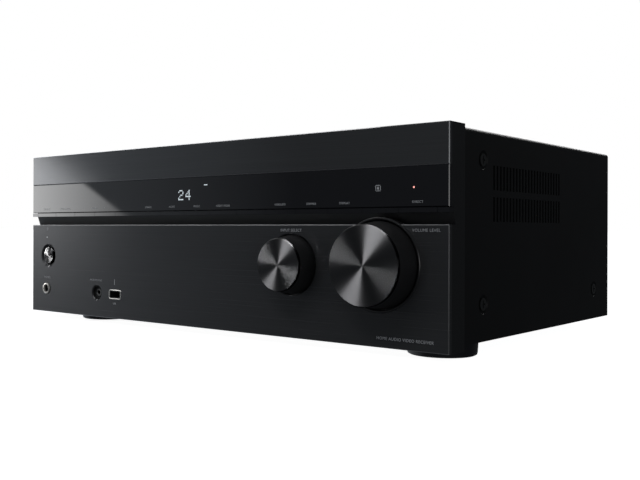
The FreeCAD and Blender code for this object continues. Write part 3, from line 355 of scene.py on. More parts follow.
def brushed_black(name, base, metallic, roughness):
    """Black anodised aluminium, brushed along its width, with polished upper and lower chamfers."""
    s = Surface(name, metallic=metallic, anisotropy=0.8, specular=0.2)
    streaks = s.noise(s.stretched(6, 6, 1400), 1, 3, 0.6)
    fine = s.noise(s.stretched(14, 14, 4200), 1, 2, 0.6)
    cloud = s.noise(s.stretched(5, 5, 9), 1, 3)
    grain = s.math("ADD", s.math("MULTIPLY", streaks, 0.6), s.math("MULTIPLY", fine, 0.4))
    plain = s.mixed(s.spread(grain, 0.35, 0.65), shaded(base, 0.92), shaded(base, 1.08))
    straight = s.spread(s.facing("X"), 0.1, 0.05)
    upward = s.facing("Z")
    sloping = s.math("MULTIPLY", s.spread(upward, 0.3, 0.5), s.spread(upward, 0.95, 0.85))
    s.tint(s.math("MULTIPLY", straight, sloping), plain, (0.3, 0.3, 0.31))
    streaked = s.spread(grain, 0.3, 0.7, roughness - 0.02, roughness + 0.03)
    s.set_input("roughness", s.math("ADD", streaked, s.spread(cloud, 0.3, 0.7, -0.01, 0.01)))
    s.set_input("tangent", s.add("CombineXYZ", (0, 0, 1)).outputs[0])
    s.bump(grain, 0.00002, 0.35)
    return s


def spun_black(name, centre, base):
    """A spun disc: fine rings about a centre, which draw light into wedges, and a rim darkened with painted
    shade.
    """
    s = Surface(name, metallic=1.0, anisotropy=0.95, turn=0.25)
    radius = s.ring_distance(centre)
    rings = s.noise(s.add("CombineXYZ", (s.math("MULTIPLY", radius, 5200), 0, 0)).outputs[0], 1, 3, 0.7)
    plain = s.mixed(rings, shaded(base, 0.75), shaded(base, 1.2))
    # Painted shade: the rim's chamfer is tinted near black, so that it shows little highlight.
    painted_shade_rim = s.spread(s.facing("Y"), 0.98, 0.92)
    s.tint(painted_shade_rim, plain, shaded(base, 0.12))
    s.set_input("roughness", s.spread(rings, 0.2, 0.8, 0.2, 0.27))
    s.set_input("tangent", s.add("Tangent", direction_type="RADIAL", axis="Y").outputs[0])
    s.bump(rings, 0.00001, 0.3)
    return s


def gloss_black(name, base=(0.006, 0.006, 0.008), roughness=0.025):
    """Polished black plastic with faint handling marks."""
    s = Surface(name, base=base, ior=1.5)
    smears = s.noise(s.stretched(30, 30, 45), 1, 5, 0.65)
    s.set_input("roughness", s.spread(smears, 0.35, 0.75, roughness, roughness * 1.8))
    s.tint(smears, base, shaded(base, 1.3))
    return s


BLACK = (0.012, 0.012, 0.012)
GOLD = (0.78, 0.56, 0.22)
STEEL = (0.6, 0.6, 0.6)
NICKEL = (0.7, 0.68, 0.63)


def moulded(name, base=BLACK, roughness=0.4, grain=3000, depth=0.00002):
    """Fine-grained moulded plastic or textured paint."""
    s = Surface(name, roughness=roughness)
    cells = s.noise(s.stretched(grain, grain, grain), 1, 3, 0.6)
    cloud = s.noise(s.stretched(12, 12, 12), 1, 3)
    s.tint(cells, shaded(base, 0.85), shaded(base, 1.15))
    s.vary_roughness(cloud, roughness - 0.04, roughness + 0.04)
    s.bump(cells, depth, 0.6)
    return s


def plated(name, base, roughness=0.2):
    """Plated metal with slight clouding."""
    s = Surface(name, metallic=1.0)
    cloud = s.noise(s.stretched(220, 220, 220), 1, 4)
    s.tint(cloud, shaded(base, 0.85), base)
    s.vary_roughness(cloud, roughness, roughness * 1.6)
    return s


def dress_front():
    """Materials for the panels, the window, the buttons and the knobs."""
    dress(brushed_black("trim_metal", (0.080, 0.082, 0.086), 0.6, 0.13), "upper_trim")
    dress(brushed_black("panel_metal", (0.050, 0.051, 0.054), 0.4, 0.25), "lower_panel")
    dress(gloss_black("window_acrylic"), "display_window")
    strip = gloss_black("strip_gloss", roughness=0.04)
    dress(strip, "strip_blanks", *[n for n in NODES if n.startswith("button_")])
    dress(moulded("front_moulding", (0.006, 0.006, 0.007), 0.42), "front_fascia")
    side = moulded("knob_lacquer", (0.018, 0.018, 0.019), 0.42, 5000, 0.000006)
    dress(side, "volume_knob", "selector_knob")
    for name, base in SPUN_FACES.items():
        low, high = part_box(name)
        dress(spun_black(f"{name}_spun", (low + high) / 2, (base, base, base * 1.04)), name)
    dress(moulded("ring_black", (0.012, 0.012, 0.013), 0.3), "volume_ring")
    dress(plated("nickel", (0.62, 0.60, 0.56), 0.22), "volume_shaft", "selector_shaft")


def dress_case():
    """Materials for the cover, the rear panel, the chassis and the screws."""
    coat = moulded("coated_steel", (0.006, 0.006, 0.0065), 0.5, 2600, 0.00003)
    coat.set_input("specular", 0.25)
    dress(coat, "top_cover", "rear_panel")
    dress(plated("zinc", (0.5, 0.51, 0.52), 0.35), "base_chassis")
    dress(moulded("screw_black", roughness=0.3), "case_screws")


# ---------------------------------------------------------------- building pieces

# A capital letter's height, as a share of the built-in font's size.
CAP_HEIGHT = 0.7


def add_piece(name, mesh, surface, body="root"):
    """Puts a finished mesh on a CAD body, with its material."""
    mesh.materials.clear()
    mesh.materials.append(surface.material)
    piece = bpy.data.objects.new(name, mesh)
    bpy.context.scene.collection.objects.link(piece)
    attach(piece, body)
    return piece


def from_bmesh(name, bm, smooth_angle=None):
    """A mesh with outward faces. Edges flatter than the angle are shaded smooth."""
    bmesh.ops.recalc_face_normals(bm, faces=bm.faces)
    mesh = bpy.data.meshes.new(name)
    bm.to_mesh(mesh)
    bm.free()
    if smooth_angle is not None:
        mesh.shade_smooth()
        mesh.set_sharp_from_angle(angle=math.radians(smooth_angle))
    return mesh


def add_solid(name, bm, surface, smooth_angle=30):
    """Makes a piece of the root body from a bmesh."""
    return add_piece(name, from_bmesh(name, bm, smooth_angle), surface)


def turn_to(axis):
    """Turns +Z onto an axis."""
    return Vector((0, 0, 1)).rotation_difference(Vector(axis)).to_matrix().to_4x4()


def add_lathe(bm, profile, place, axis=(0, -1, 0), steps=64, shape=None):
    """Adds a turned solid: a closed profile of (radius, distance along the axis), in millimetres.

    Shape may change a radius at a step round the axis, for ridges."""
    turn = Matrix.Translation(place) @ turn_to(axis)
    rings = []
    for radius, along in profile:
        if radius == 0:
            rings.append([bm.verts.new(turn @ Vector((0, 0, along * MM)))])
            continue
        ring = []
        for i in range(steps):
            angle = 2 * math.pi * i / steps
            r = shape(radius, i) if shape else radius
            point = Vector((r * math.cos(angle), r * math.sin(angle), along)) * MM
            ring.append(bm.verts.new(turn @ point))
        rings.append(ring)
    closed = len(rings[0]) > 1 and len(rings[-1]) > 1
    pairs = list(zip(rings, rings[1:])) + ([(rings[-1], rings[0])] if closed else [])
    for low, high in pairs:
        for i in range(steps):
            j = (i + 1) % steps
            corners = [low[i % len(low)], low[j % len(low)], high[j % len(high)], high[i % len(high)]]
            unique = list(dict.fromkeys(corners))
            if len(unique) > 2:
                bm.faces.new(unique)


def lathe(name, profile, place, axis=(0, -1, 0), steps=64, smooth_angle=32, shape=None):
    """The mesh of a single turned solid."""
    bm = bmesh.new()
    add_lathe(bm, profile, place, axis, steps, shape)
    return from_bmesh(name, bm, smooth_angle)


def add_block(bm, low, high, bevel=0.0, segments=2):
    """Adds a box between two corners, in metres, with rounded edges."""
    part = bmesh.new()
    bmesh.ops.create_cube(part, size=1)
    middle, size = (Vector(low) + Vector(high)) / 2, Vector(high) - Vector(low)
    shape = Matrix.Translation(middle) @ Matrix.Diagonal((*size, 1))
    bmesh.ops.transform(part, matrix=shape, verts=part.verts)
    if bevel:
        bmesh.ops.bevel(part, geom=part.edges, offset=bevel, segments=segments, profile=0.5, affect="EDGES")
    merge(bm, part)


def add_box(bm, place, low, high, bevel=0.0, segments=2):
    """Adds a box between two corners, in millimetres from a place."""
    place = Vector(place)
    add_block(bm, place + Vector(low) * MM, place + Vector(high) * MM, bevel * MM, segments)


def merge(bm, part, turn=None):
    """Adds one bmesh to another and frees it."""
    mesh = bpy.data.meshes.new("part")
    part.to_mesh(mesh)
    part.free()
    if turn is not None:
        mesh.transform(turn)
    bm.from_mesh(mesh)
    bpy.data.meshes.remove(mesh)


def add_words(bm, words, x, y, z, height, back=False, thick=0.03):
    """Adds raised print: words of a cap height in millimetres, centred on a place in metres."""
    curve = bpy.data.curves.new("words", "FONT")
    curve.body = words
    curve.size = height / CAP_HEIGHT * MM
    curve.space_character = 1.1
    curve.align_x, curve.align_y = "CENTER", "CENTER"
    curve.extrude = thick * MM / 2
    curve.resolution_u = 3
    holder = bpy.data.objects.new("words", curve)
    mesh = bpy.data.meshes.new_from_object(holder)
    turn = Matrix.Rotation(math.pi if back else 0, 4, "Z") @ Matrix.Rotation(math.pi / 2, 4, "X")
    mesh.transform(Matrix.Translation((x, y, z)) @ turn)
    bm.from_mesh(mesh)
    bpy.data.batch_remove([mesh, curve])


# ---------------------------------------------------------------- the front's details

PRINT_THICK = 0.03 * MM
PANEL_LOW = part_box("lower_panel")[0].z
STRIP_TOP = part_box("button_display")[1].z
MINUS = "\u2212"
FLAT_THICK = 0.04


def box_middle(node):
    low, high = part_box(node)
    return (low + high) / 2


def button_middle(name):
    return box_middle(f"button_{name}").x


def front_print():
    """White function names above the buttons and on the lower panel."""
    y = FRONT_Y - PRINT_THICK / 2
    bm = bmesh.new()
    names = {
        "speakers": "SPEAKERS",
        "tuning_mode": "TUNING MODE",
        "stereo_mode": "STEREO",
        "movie_mode": "MOVIE",
        "music_mode": "MUSIC",
        "night_mode": "NIGHT MODE",
        "wireless": "WIRELESS",
        "dimmer": "DIMMER",
        "display": "DISPLAY",
        "direct": "DIRECT",
    }
    label_z = STRIP_TOP + 3.6 * MM
    for name, words in names.items():
        add_words(bm, words, button_middle(name), y, label_z, 1.5)
    down, up = button_middle("tuning_down"), button_middle("tuning_up")
    for words, x in ((MINUS, down), ("TUNING", (down + up) / 2), ("+", up)):
        add_words(bm, words, x, y, label_z, 1.5)
    # Words, place across and up the panel and height, in millimetres.
    panel = [
        ("INPUT SELECT", 92.7, 75.1, 1.9),
        ("VOLUME LEVEL", 199.2, 75.4, 1.9),
        ("PHONES", -192.3, 31.4, 1.6),
        ("MICROPHONE", -122.0, 31.4, 1.6),
        ("USB", -97.3, 12.6, 1.5),
        ("HOME AUDIO VIDEO RECEIVER", 184.0, 6.2, 1.9),
    ]
    for words, x, z, height in panel:
        add_words(bm, words, x * MM, y, PANEL_LOW + z * MM, height)
    add_power_mark(bm, Vector((-192.3 * MM, y, PANEL_LOW + 75.3 * MM)))
    half = PRINT_THICK / MM / 2
    add_box(bm, (0, y, PANEL_LOW), (-97.6, -half, 28.4), (-97.0, half, 33.0))
    add_solid("front_print", bm, moulded("white_print", (0.44, 0.45, 0.47), 0.6), None)


def add_power_mark(bm, place):
    """A broken ring with a bar in its gap."""
    radius, width, gap, steps = 1.0 * MM, 0.28 * MM, math.radians(40), 20
    part = bmesh.new()
    start, sweep = math.pi / 2 + gap, 2 * math.pi - 2 * gap
    inner, outer = [], []
    for i in range(steps + 1):
        angle = start + sweep * i / steps
        reach = Vector((math.cos(angle), 0, math.sin(angle)))
        inner.append(part.verts.new(reach * (radius - width / 2)))
        outer.append(part.verts.new(reach * (radius + width / 2)))
    for i in range(steps):
        part.faces.new((inner[i], outer[i], outer[i + 1], inner[i + 1]))
    raised = bmesh.ops.extrude_face_region(part, geom=part.faces[:])
    moved = [v for v in raised["geom"] if isinstance(v, bmesh.types.BMVert)]
    bmesh.ops.translate(part, verts=moved, vec=(0, -PRINT_THICK, 0))
    merge(bm, part, Matrix.Translation(place))
    half = Vector((width / 2, PRINT_THICK / 2, 0.55 * MM))
    middle = place + Vector((0, 0, radius * 0.85))
    add_block(bm, middle - half, middle + half)


DIGITS = {
    "2": ("01110", "10001", "00001", "00110", "01000", "10000", "11111"),
    "4": ("00010", "00110", "01010", "10010", "11111", "00010", "00010"),
}


DOT, DOT_PITCH = 0.88, 1.15
DIGITS_LEFT, DIGITS_TOP, DIGIT_STEP = -20.2, 105.2, 8.0


def display_glow():
    """Two dot-matrix digits and a small bar, glowing through the window."""
    place = Vector((0, FRONT_Y - FLAT_THICK / 2 * MM, PANEL_LOW))
    bm = bmesh.new()
    for k, digit in enumerate("24"):
        for row, line in enumerate(DIGITS[digit]):
            for column, lit in enumerate(line):
                if lit == "1":
                    left = DIGITS_LEFT + k * DIGIT_STEP + column * DOT_PITCH
                    low = Vector((left, 0, DIGITS_TOP - row * DOT_PITCH))
                    add_box(bm, place, low, low + Vector((DOT, FLAT_THICK, DOT)), 0.008, 1)
    add_box(bm, place, (7.7, 0, 109.2), (11.3, FLAT_THICK, 109.8))
    glow = Surface("display_glow", base=(0.7, 0.8, 0.85), glow=(0.85, 0.95, 1.0), roughness=0.4)
    flicker = glow.noise(glow.stretched(900, 900, 900), 1, 1)
    glow.set_input("glow_strength", glow.spread(flicker, 0.3, 0.7, 0.5, 0.65))
    add_solid("display_digits", bm, glow, None)


MARK_PLACE = (162.2, 100.5)
MARK_SIZE, MARK_LINE = 4.0, 0.45


def tag_mark():
    """A small square outline with a block in it, printed on the window."""
    x, z = MARK_PLACE
    place = Vector((x * MM, FRONT_Y - FLAT_THICK / 2 * MM, PANEL_LOW + z * MM))
    bm = bmesh.new()
    for left, low, right, high in (
        (0, 0, MARK_SIZE, MARK_LINE),
        (0, MARK_SIZE - MARK_LINE, MARK_SIZE, MARK_SIZE),
        (0, 0, MARK_LINE, MARK_SIZE),
        (MARK_SIZE - MARK_LINE, 0, MARK_SIZE, MARK_SIZE),
        (1.3, 1.1, MARK_SIZE - 1.3, MARK_SIZE - 1.1),
    ):
        add_box(bm, place, (left, 0, low), (right, FLAT_THICK, high))
    add_solid("tag_mark", bm, moulded("tag_print", (0.45, 0.46, 0.48), 0.6), None)


def lamps():
    """The direct-mode lamp in the window and the standby lamp above the power button."""
    # Name, place across and up the panel and radius in millimetres, colour and strength.
    for name, x, z, radius, colour, strength in (
        ("direct_lamp", 190.5, 102.4, 0.7, (1.0, 0.42, 0.36), 1.0),
        ("standby_lamp", -192.7, 67.9, 0.6, (0.7, 0.72, 0.75), 0.6),
    ):
        lens = Surface(f"{name}_lens", base=colour, roughness=0.25, glow=colour)
        cloud = lens.noise(lens.stretched(1500, 1500, 1500), 1, 1)
        lens.set_input("glow_strength", lens.spread(cloud, 0.3, 0.7, 0.9 * strength, strength))
        profile = [(0, 0.14), (radius * 0.55, 0.11), (radius * 0.9, 0.05), (radius, -0.3), (0, -0.3)]
        place = Vector((x * MM, FRONT_Y, PANEL_LOW + z * MM))
        add_piece(name, lathe(name, profile, place, steps=24), lens)


def headphone_socket():
    """A plated collar with a rounded lip, around a black bore."""
    axis = box_middle("headphone_jack")
    place = Vector((axis.x, FRONT_Y, axis.z))
    collar = [
        (3.25, 0.4), (3.45, 0.85), (3.9, 1.15), (4.5, 1.1), (4.95, 0.8), (5.15, 0.3),
        (5.15, -3.0), (3.9, -3.0), (3.9, -0.6), (3.25, -0.6),
    ]
    bore = [(3.85, -0.7), (3.3, -0.7), (3.2, -1.2), (3.2, -26), (0, -26), (0, -29), (3.85, -29)]
    plate = plated("socket_nickel", (0.78, 0.75, 0.70), 0.32)
    piece = add_piece("headphone_collar", lathe("headphone_collar", collar, place), plate)
    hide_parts("headphone_jack")
    black = moulded("bore_black", (0.01, 0.01, 0.01))
    add_piece("headphone_bore", lathe("headphone_bore", bore, place), black)


def microphone_socket():
    """A small jack at the bottom of its dish."""
    axis = box_middle("microphone_jack")
    place = Vector((axis.x, FRONT_Y, axis.z))
    dish = [(5.45, -0.6), (5.0, -2.6), (3.5, -3.4), (3.5, -8), (5.5, -8), (5.5, -0.6)]
    barrel = [(1.75, -2.9), (2.1, -2.5), (2.9, -2.5), (3.25, -2.8), (3.3, -12), (1.75, -12)]
    black = moulded("dish_black", (0.008, 0.008, 0.008), 0.42)
    piece = add_piece("microphone_dish", lathe("microphone_dish", dish, place), black)
    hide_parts("microphone_jack")
    metal = plated("jack_dark_nickel", (0.10, 0.10, 0.10), 0.3)
    add_piece("microphone_barrel", lathe("microphone_barrel", barrel, place), metal)


def rounded_outline(wide, tall, corner, steps=4):
    """Corners of a rectangle in X and Z with round or cut corners, in millimetres."""
    points = []
    for k, (sx, sz) in enumerate(((1, 1), (-1, 1), (-1, -1), (1, -1))):
        centre = Vector((sx * (wide / 2 - corner), 0, sz * (tall / 2 - corner)))
        for i in range(steps + 1):
            angle = math.pi / 2 * (k + i / steps)
            points.append(centre + Vector((math.cos(angle), 0, math.sin(angle))) * corner)
    return points


def add_tube(bm, loops):
    """Joins closed loops of equal length with faces, the last one to the first: a hollow frame."""
    rings = [[bm.verts.new(point) for point in loop] for loop in loops]
    for low, high in zip(rings, rings[1:] + rings[:1]):
        for i in range(len(low)):
            j = (i + 1) % len(low)
            bm.faces.new((low[i], low[j], high[j], high[i]))


def add_frame(bm, place, outer, inner, front, lip, depth, out=-1):
    """Adds a socket's shell, from outer and inner (wide, tall, corner), its front ahead of the place.

    Out is -1 for a socket that faces forward and 1 for one that faces back."""
    def loop(size, grow, ahead):
        wide, tall, corner = size
        points = rounded_outline(wide + 2 * grow, tall + 2 * grow, max(corner + grow, 0.05))
        return [(p + Vector((0, out * ahead, 0))) * MM + place for p in points]

    add_tube(bm, [
        loop(outer, 0, -depth),
        loop(outer, 0, front - lip),
        loop(outer, -lip, front),
        loop(inner, lip, front),
        loop(inner, 0, front - lip),
        loop(inner, 0, -depth),
    ])


def usb_socket():
    """A plated surround with cut corners, a black tongue and four gold contacts."""
    axis = box_middle("usb_port")
    place = Vector((axis.x, FRONT_Y, axis.z))
    surround, inside, contacts = bmesh.new(), bmesh.new(), bmesh.new()
    add_frame(surround, place, (15.5, 8.1, 1.9), (13.7, 6.3, 1.1), 0.3, 0.3, 15)
    plate = plated("usb_nickel", (0.74, 0.72, 0.68), 0.22)
    piece = add_solid("usb_surround", surround, plate)
    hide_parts("usb_port")
    add_frame(inside, place, (13.6, 6.2, 1.1), (12.6, 5.2, 0.8), -0.3, 0.2, 15)
    add_box(inside, place, (-5.4, 7.0, 0.3), (5.4, 15.0, 2.0), 0.2)
    add_box(inside, place, (-6.25, 14.8, -2.6), (6.25, 15.4, 2.6))
    add_solid("usb_tongue", inside, moulded("tongue_black"), None)
    for x in (-3.5, -1.0, 1.0, 3.5):
        add_box(contacts, place, (x - 0.5, 7.6, 0.12), (x + 0.5, 13.6, 0.32))
    add_solid("usb_contacts", contacts, plated("contact_gold", (0.75, 0.52, 0.2), 0.16), None)


# Shares of a foot's radius, and heights in millimetres.
FOOT_PROFILE = [
    (0, 1.4), (0.30, 1.4), (0.34, 0.5), (0.40, 0.0), (0.80, 0.0), (0.93, 0.25), (0.985, 0.9),
    (1.0, 2.0), (1.01, 5.0), (1.02, 9.1), (0, 9.1),
]


FOOT_WIDEST = max(share for share, height in FOOT_PROFILE)


def foot_spots():
    """Centre and radius of each foot in metres: the feet's mesh has one in each quarter."""
    low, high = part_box("feet")
    middle_y = (low.y + high.y) / 2
    points = [v.co for v in NODES["feet"].data.vertices]
    spots = []
    for side in (-1, 1):
        for end in (-1, 1):
            one = [p for p in points if p.x * side > 0 and (p.y - middle_y) * end > 0]
            left, right = min(p.x for p in one), max(p.x for p in one)
            near, far = min(p.y for p in one), max(p.y for p in one)
            spots.append(((left + right) / 2, (near + far) / 2, (right - left) / 2))
    return spots


def feet():
    """Turned feet with a rounded rim and a recessed screw seat underneath."""
    gloss = gloss_black("foot_gloss", roughness=0.22)
    for i, (x, y, radius) in enumerate(foot_spots()):
        profile = [(share / FOOT_WIDEST * radius / MM, height) for share, height in FOOT_PROFILE]
        place = Vector((x, y, 0))
        piece = add_piece(f"foot_{i + 1}", lathe("foot", profile, place, (0, 0, 1), 96), gloss)
        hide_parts("feet")


# ---------------------------------------------------------------- the rear's details

BACKWARD = (0, 1, 0)
UPWARD = (0, 0, 1)
CAPS = [name for name in NODES if name.startswith("terminal_cap_")]
WHITE, RED, YELLOW = (0.62, 0.61, 0.58), (0.45, 0.015, 0.015), (0.62, 0.42, 0.03)
TERMINAL_PLATE = 1.6 * MM
NETWORK_EDGE = 8 * MM


def on_panel(x, z):
    """A place on the rear panel's outer face, from metres across and up."""
    return Vector((x, PANEL_BACK_Y, z))


def columns(node, edge, count):
    """Even places across a node, the outer ones an edge in millimetres from its ends."""
    low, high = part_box(node)
    first, last = low.x + edge * MM, high.x - edge * MM
    return [first + (last - first) * i / (count - 1) for i in range(count)]


PHONO_COLUMNS = columns("rca_sockets", 6.5, 4)
VIDEO_COLUMNS = columns("hdmi_ports", 7.5, 6)
CAP_RIDGE = 0.45


def ridged(outer):
    """A shape for a lathe, with grooves in its outer radius: two steps out and two in."""
    def shape(radius, step):
        return radius - CAP_RIDGE if radius == outer and step % 4 > 1 else radius

    return shape


def terminal_caps():
    """Ridged screw caps: red for positive and black for negative."""
    colours = {"positive": ("cap_red", RED), "negative": ("cap_black", (0.014, 0.014, 0.015))}
    surfaces = {sign: moulded(slot, base, 0.3, 2400, 0.00001) for sign, (slot, base) in colours.items()}
    for name in CAPS:
        sign = name.split("_")[-1]
        low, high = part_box(name)
        radius, length = (high.x - low.x) / 2 / MM, (high.y - low.y) / MM
        profile = [
            (3.7, 0.1), (5.3, 0.1), (5.9, 0.5), (5.9, 1.8),
            (radius, 2.3), (radius, length - 2.4), (5.8, length - 1.6), (5.5, length - 0.6),
            (5.0, length - 0.1), (4.2, length - 0.1), (3.7, length - 0.7),
        ]
        place = Vector(((low.x + high.x) / 2, low.y, (low.z + high.z) / 2))
        mesh = lathe(name, profile, place, BACKWARD, 96, 28, ridged(radius))
        piece = add_piece(f"{name}_knurled", mesh, surfaces[sign], name)
        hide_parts(name)


def speaker_terminals():
    """A moulded plate with a collar round each gold post, and a nut behind each."""
    low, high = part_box("speaker_terminals")
    middles = [box_middle(name) for name in CAPS]
    plate = bmesh.new()
    plate_back = PANEL_BACK_Y + TERMINAL_PLATE
    add_block(plate, (low.x, PANEL_BACK_Y, low.z), (high.x, plate_back, high.z), 0.5 * MM, 3)
    collar = [(3.7, 1.5), (6.75, 1.5), (6.75, 2.6), (6.4, 3.0), (3.7, 3.0)]
    for middle in middles:
        add_lathe(plate, collar, on_panel(middle.x, middle.z), BACKWARD, 48)
    black = moulded("terminal_black", (0.013, 0.013, 0.014), 0.38)
    piece = add_solid("terminal_plate", plate, black)
    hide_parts("speaker_terminals")
    long = (high.y - low.y) / MM
    post = [
        (0, 0), (3.1, 0), (3.3, 0.3), (3.3, long - 3.4), (3.0, long - 3.2), (3.0, long - 2.8),
        (3.3, long - 2.6), (3.3, long - 0.5), (2.9, long), (2.3, long), (2.05, long - 0.3),
        (2.05, long - 14), (0, long - 14),
    ]
    nut = [(3.35, 6), (5.6, 6), (5.6, 8.6), (3.35, 8.6)]
    gold = plated("post_gold", (0.83, 0.62, 0.27))
    for name, profile, steps in (("terminal_posts", post, 40), ("terminal_nuts", nut, 6)):
        bm = bmesh.new()
        for middle in middles:
            add_lathe(bm, profile, Vector((middle.x, low.y, middle.z)), BACKWARD, steps)
        add_solid(name, bm, gold)


def phono_sockets():
    """Plated barrels with coloured insulators, in rows: red, white and yellow from the bottom."""
    low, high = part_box("rca_sockets")
    rise = (high.z - low.z) / 3
    barrel = [
        (3.2, 0.1), (5.2, 0.1), (5.2, 0.9), (4.9, 1.2), (4.15, 1.4),
        (4.15, 9.1), (3.9, 9.45), (3.5, 9.45), (3.2, 9.1),
    ]
    insulator = [(0, 0.5), (3.25, 0.5), (3.25, 8.8), (1.95, 8.8), (1.65, 8.5), (1.65, 1.0), (0, 1.0)]
    barrels, cases = bmesh.new(), bmesh.new()
    half, case_back = 6.4 * MM, low.y + 13.9 * MM
    for x in PHONO_COLUMNS:
        add_block(cases, (x - half, low.y, low.z), (x + half, case_back, high.z), 0.6 * MM)
    rows = (("red", RED, "cap_red"), ("white", WHITE, "print"), ("yellow", YELLOW, "print"))
    for row, (name, colour, slot) in enumerate(rows):
        insulators = bmesh.new()
        for x in PHONO_COLUMNS:
            place = on_panel(x, low.z + rise * (row + 0.5))
            add_lathe(barrels, barrel, place, BACKWARD, 40)
            add_lathe(insulators, insulator, place, BACKWARD, 32)
        add_solid(f"phono_insulators_{name}", insulators, moulded(f"insulator_{name}", colour))
    piece = add_solid("phono_barrels", barrels, plated("phono_nickel", (0.72, 0.68, 0.6)))
    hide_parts("rca_sockets")
    black = moulded("phono_case_black", (0.014, 0.014, 0.015), 0.42)
    add_solid("phono_cases", cases, black)


def add_contacts(bm, place, start, count, pitch, size):
    """Adds a row of thin contacts, centred across a place.

    Start is along Y and up from it. Size is across, along Y and up, all in millimetres."""
    wide, long, tall = size
    y, z = start
    for i in range(count):
        left = (i - (count - 1) / 2) * pitch - wide / 2
        add_box(bm, place, (left, y, z), (left + wide, y + long, z + tall))


def video_sockets():
    """Six flat sockets: a folded shell, a tongue with contacts and a back wall."""
    z = box_middle("hdmi_ports").z
    shells, tongues, contacts = bmesh.new(), bmesh.new(), bmesh.new()
    for x in VIDEO_COLUMNS:
        place = on_panel(x, z)
        add_frame(shells, place, (15, 5.6, 1.3), (14, 4.6, 1.0), 0.5, 0.15, 11, 1)
        add_box(tongues, place, (-6.9, -10.9, -2.2), (6.9, -9.6, 2.2), 0.2)
        add_box(tongues, place, (-5.3, -9.5, 0.75), (5.3, -4.1, 1.65), 0.2)
        add_contacts(contacts, place, (-9.3, 0.62), 9, 1.1, (0.5, 4.6, 0.1))
    piece = add_solid("video_shells", shells, plated("socket_steel", STEEL, 0.24))
    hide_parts("hdmi_ports")
    add_solid("video_tongues", tongues, moulded("video_tongue_black"))
    add_solid("video_contacts", contacts, plated("video_contact_gold", GOLD, 0.25), None)


def data_sockets():
    """The network socket with its shield and contacts, and two optical sockets with lenses."""
    low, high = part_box("data_sockets")
    z = (low.z + high.z) / 2
    network = on_panel(high.x - NETWORK_EDGE, z)
    shield, mouths, contacts, lenses = (bmesh.new() for _ in range(4))
    add_frame(shield, network, (16, 14, 0.5), (15.2, 13.2, 0.3), 0.5, 0.15, 17, 1)
    add_frame(mouths, network, (15.1, 13.1, 0.3), (11.8, 9, 0.3), 0.3, 0.15, 15.5, 1)
    add_box(mouths, network, (-7.5, -17, -6.5), (7.5, -15.6, 6.5))
    add_contacts(contacts, network, (-12, 3.6), 8, 1.1, (0.45, 9, 0.4))
    lens = [(0, 0), (1.5, 0), (1.4, 0.5), (0.8, 0.9), (0, 1.0)]
    for x in (low.x + 5 * MM, low.x + 27 * MM):
        place = on_panel(x, z)
        add_frame(mouths, place, (10, 10, 0.7), (6.4, 6.4, 0.9), 0.5, 0.25, 10.6, 1)
        add_box(mouths, place, (-4.9, -12, -4.9), (4.9, -10.7, 4.9))
        add_lathe(lenses, lens, place - Vector((0, 10.68, 0)) * MM, BACKWARD, 24)
    piece = add_solid("network_shield", shield, plated("shield_steel", STEEL, 0.24))
    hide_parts("data_sockets")
    add_solid("data_mouths", mouths, moulded("data_black"))
    add_solid("network_contacts", contacts, plated("network_gold", GOLD, 0.25), None)
    add_solid("optical_lenses", lenses, gloss_black("optical_lens_red", (0.25, 0.01, 0.01), 0.12))


def aerial_terminals():
    """A threaded aerial stub, a white loop-aerial socket and the tuner's screening can."""
    low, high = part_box("aerial_terminals")
    z = low.z + 14 * MM
    stub_place, loop_place = on_panel(low.x + 16 * MM, z), on_panel(high.x - 10 * MM, z)
    threads = [(radius, 1.6 + 0.75 * k + up) for k in range(10) for radius, up in ((4.3, 0), (4.7, 0.38))]
    stub = [
        (2.9, 0.1), (4.7, 0.1), (4.7, 1.3), *threads,
        (4.3, 9.5), (4.1, 9.95), (3.1, 9.95), (2.9, 9.7),
    ]
    nickel = plated("aerial_nickel", NICKEL)
    piece = add_piece("aerial_stub", lathe("aerial_stub", stub, stub_place, BACKWARD, 48), nickel)
    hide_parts("aerial_terminals")
    white, pins, can = bmesh.new(), bmesh.new(), bmesh.new()
    core = [(0, 0.4), (2.95, 0.4), (2.95, 9.4), (1.4, 9.4), (1.2, 9.2), (1.2, 2), (0, 2)]
    add_lathe(white, core, stub_place, BACKWARD, 32)
    add_frame(white, loop_place, (12, 8, 0.6), (9, 5, 0.5), 0.5, 0.25, 4.5, 1)
    add_box(white, loop_place, (-5.9, -6, -3.9), (5.9, -4.6, 3.9))
    add_solid("aerial_insulators", white, moulded("aerial_white", WHITE, 0.45))
    for x in (-1.6, 1.6):
        add_box(pins, loop_place, (x - 0.35, -4.6, -0.35), (x + 0.35, -0.8, 0.35), 0.15)
    add_solid("aerial_pins", pins, nickel, None)
    inset, lid = 1.5 * MM, high.z - 2.4 * MM
    add_block(can, low, (high.x, PANEL_BACK_Y - 7.2 * MM, high.z - 1 * MM), 0.8 * MM, 3)
    lid_far = (high.x - inset, PANEL_BACK_Y - 8.7 * MM, high.z)
    add_block(can, (low.x + inset, low.y + inset, lid), lid_far, 0.5 * MM)
    add_solid("tuner_can", can, plated("tuner_zinc", (0.5, 0.5, 0.5), 0.34))


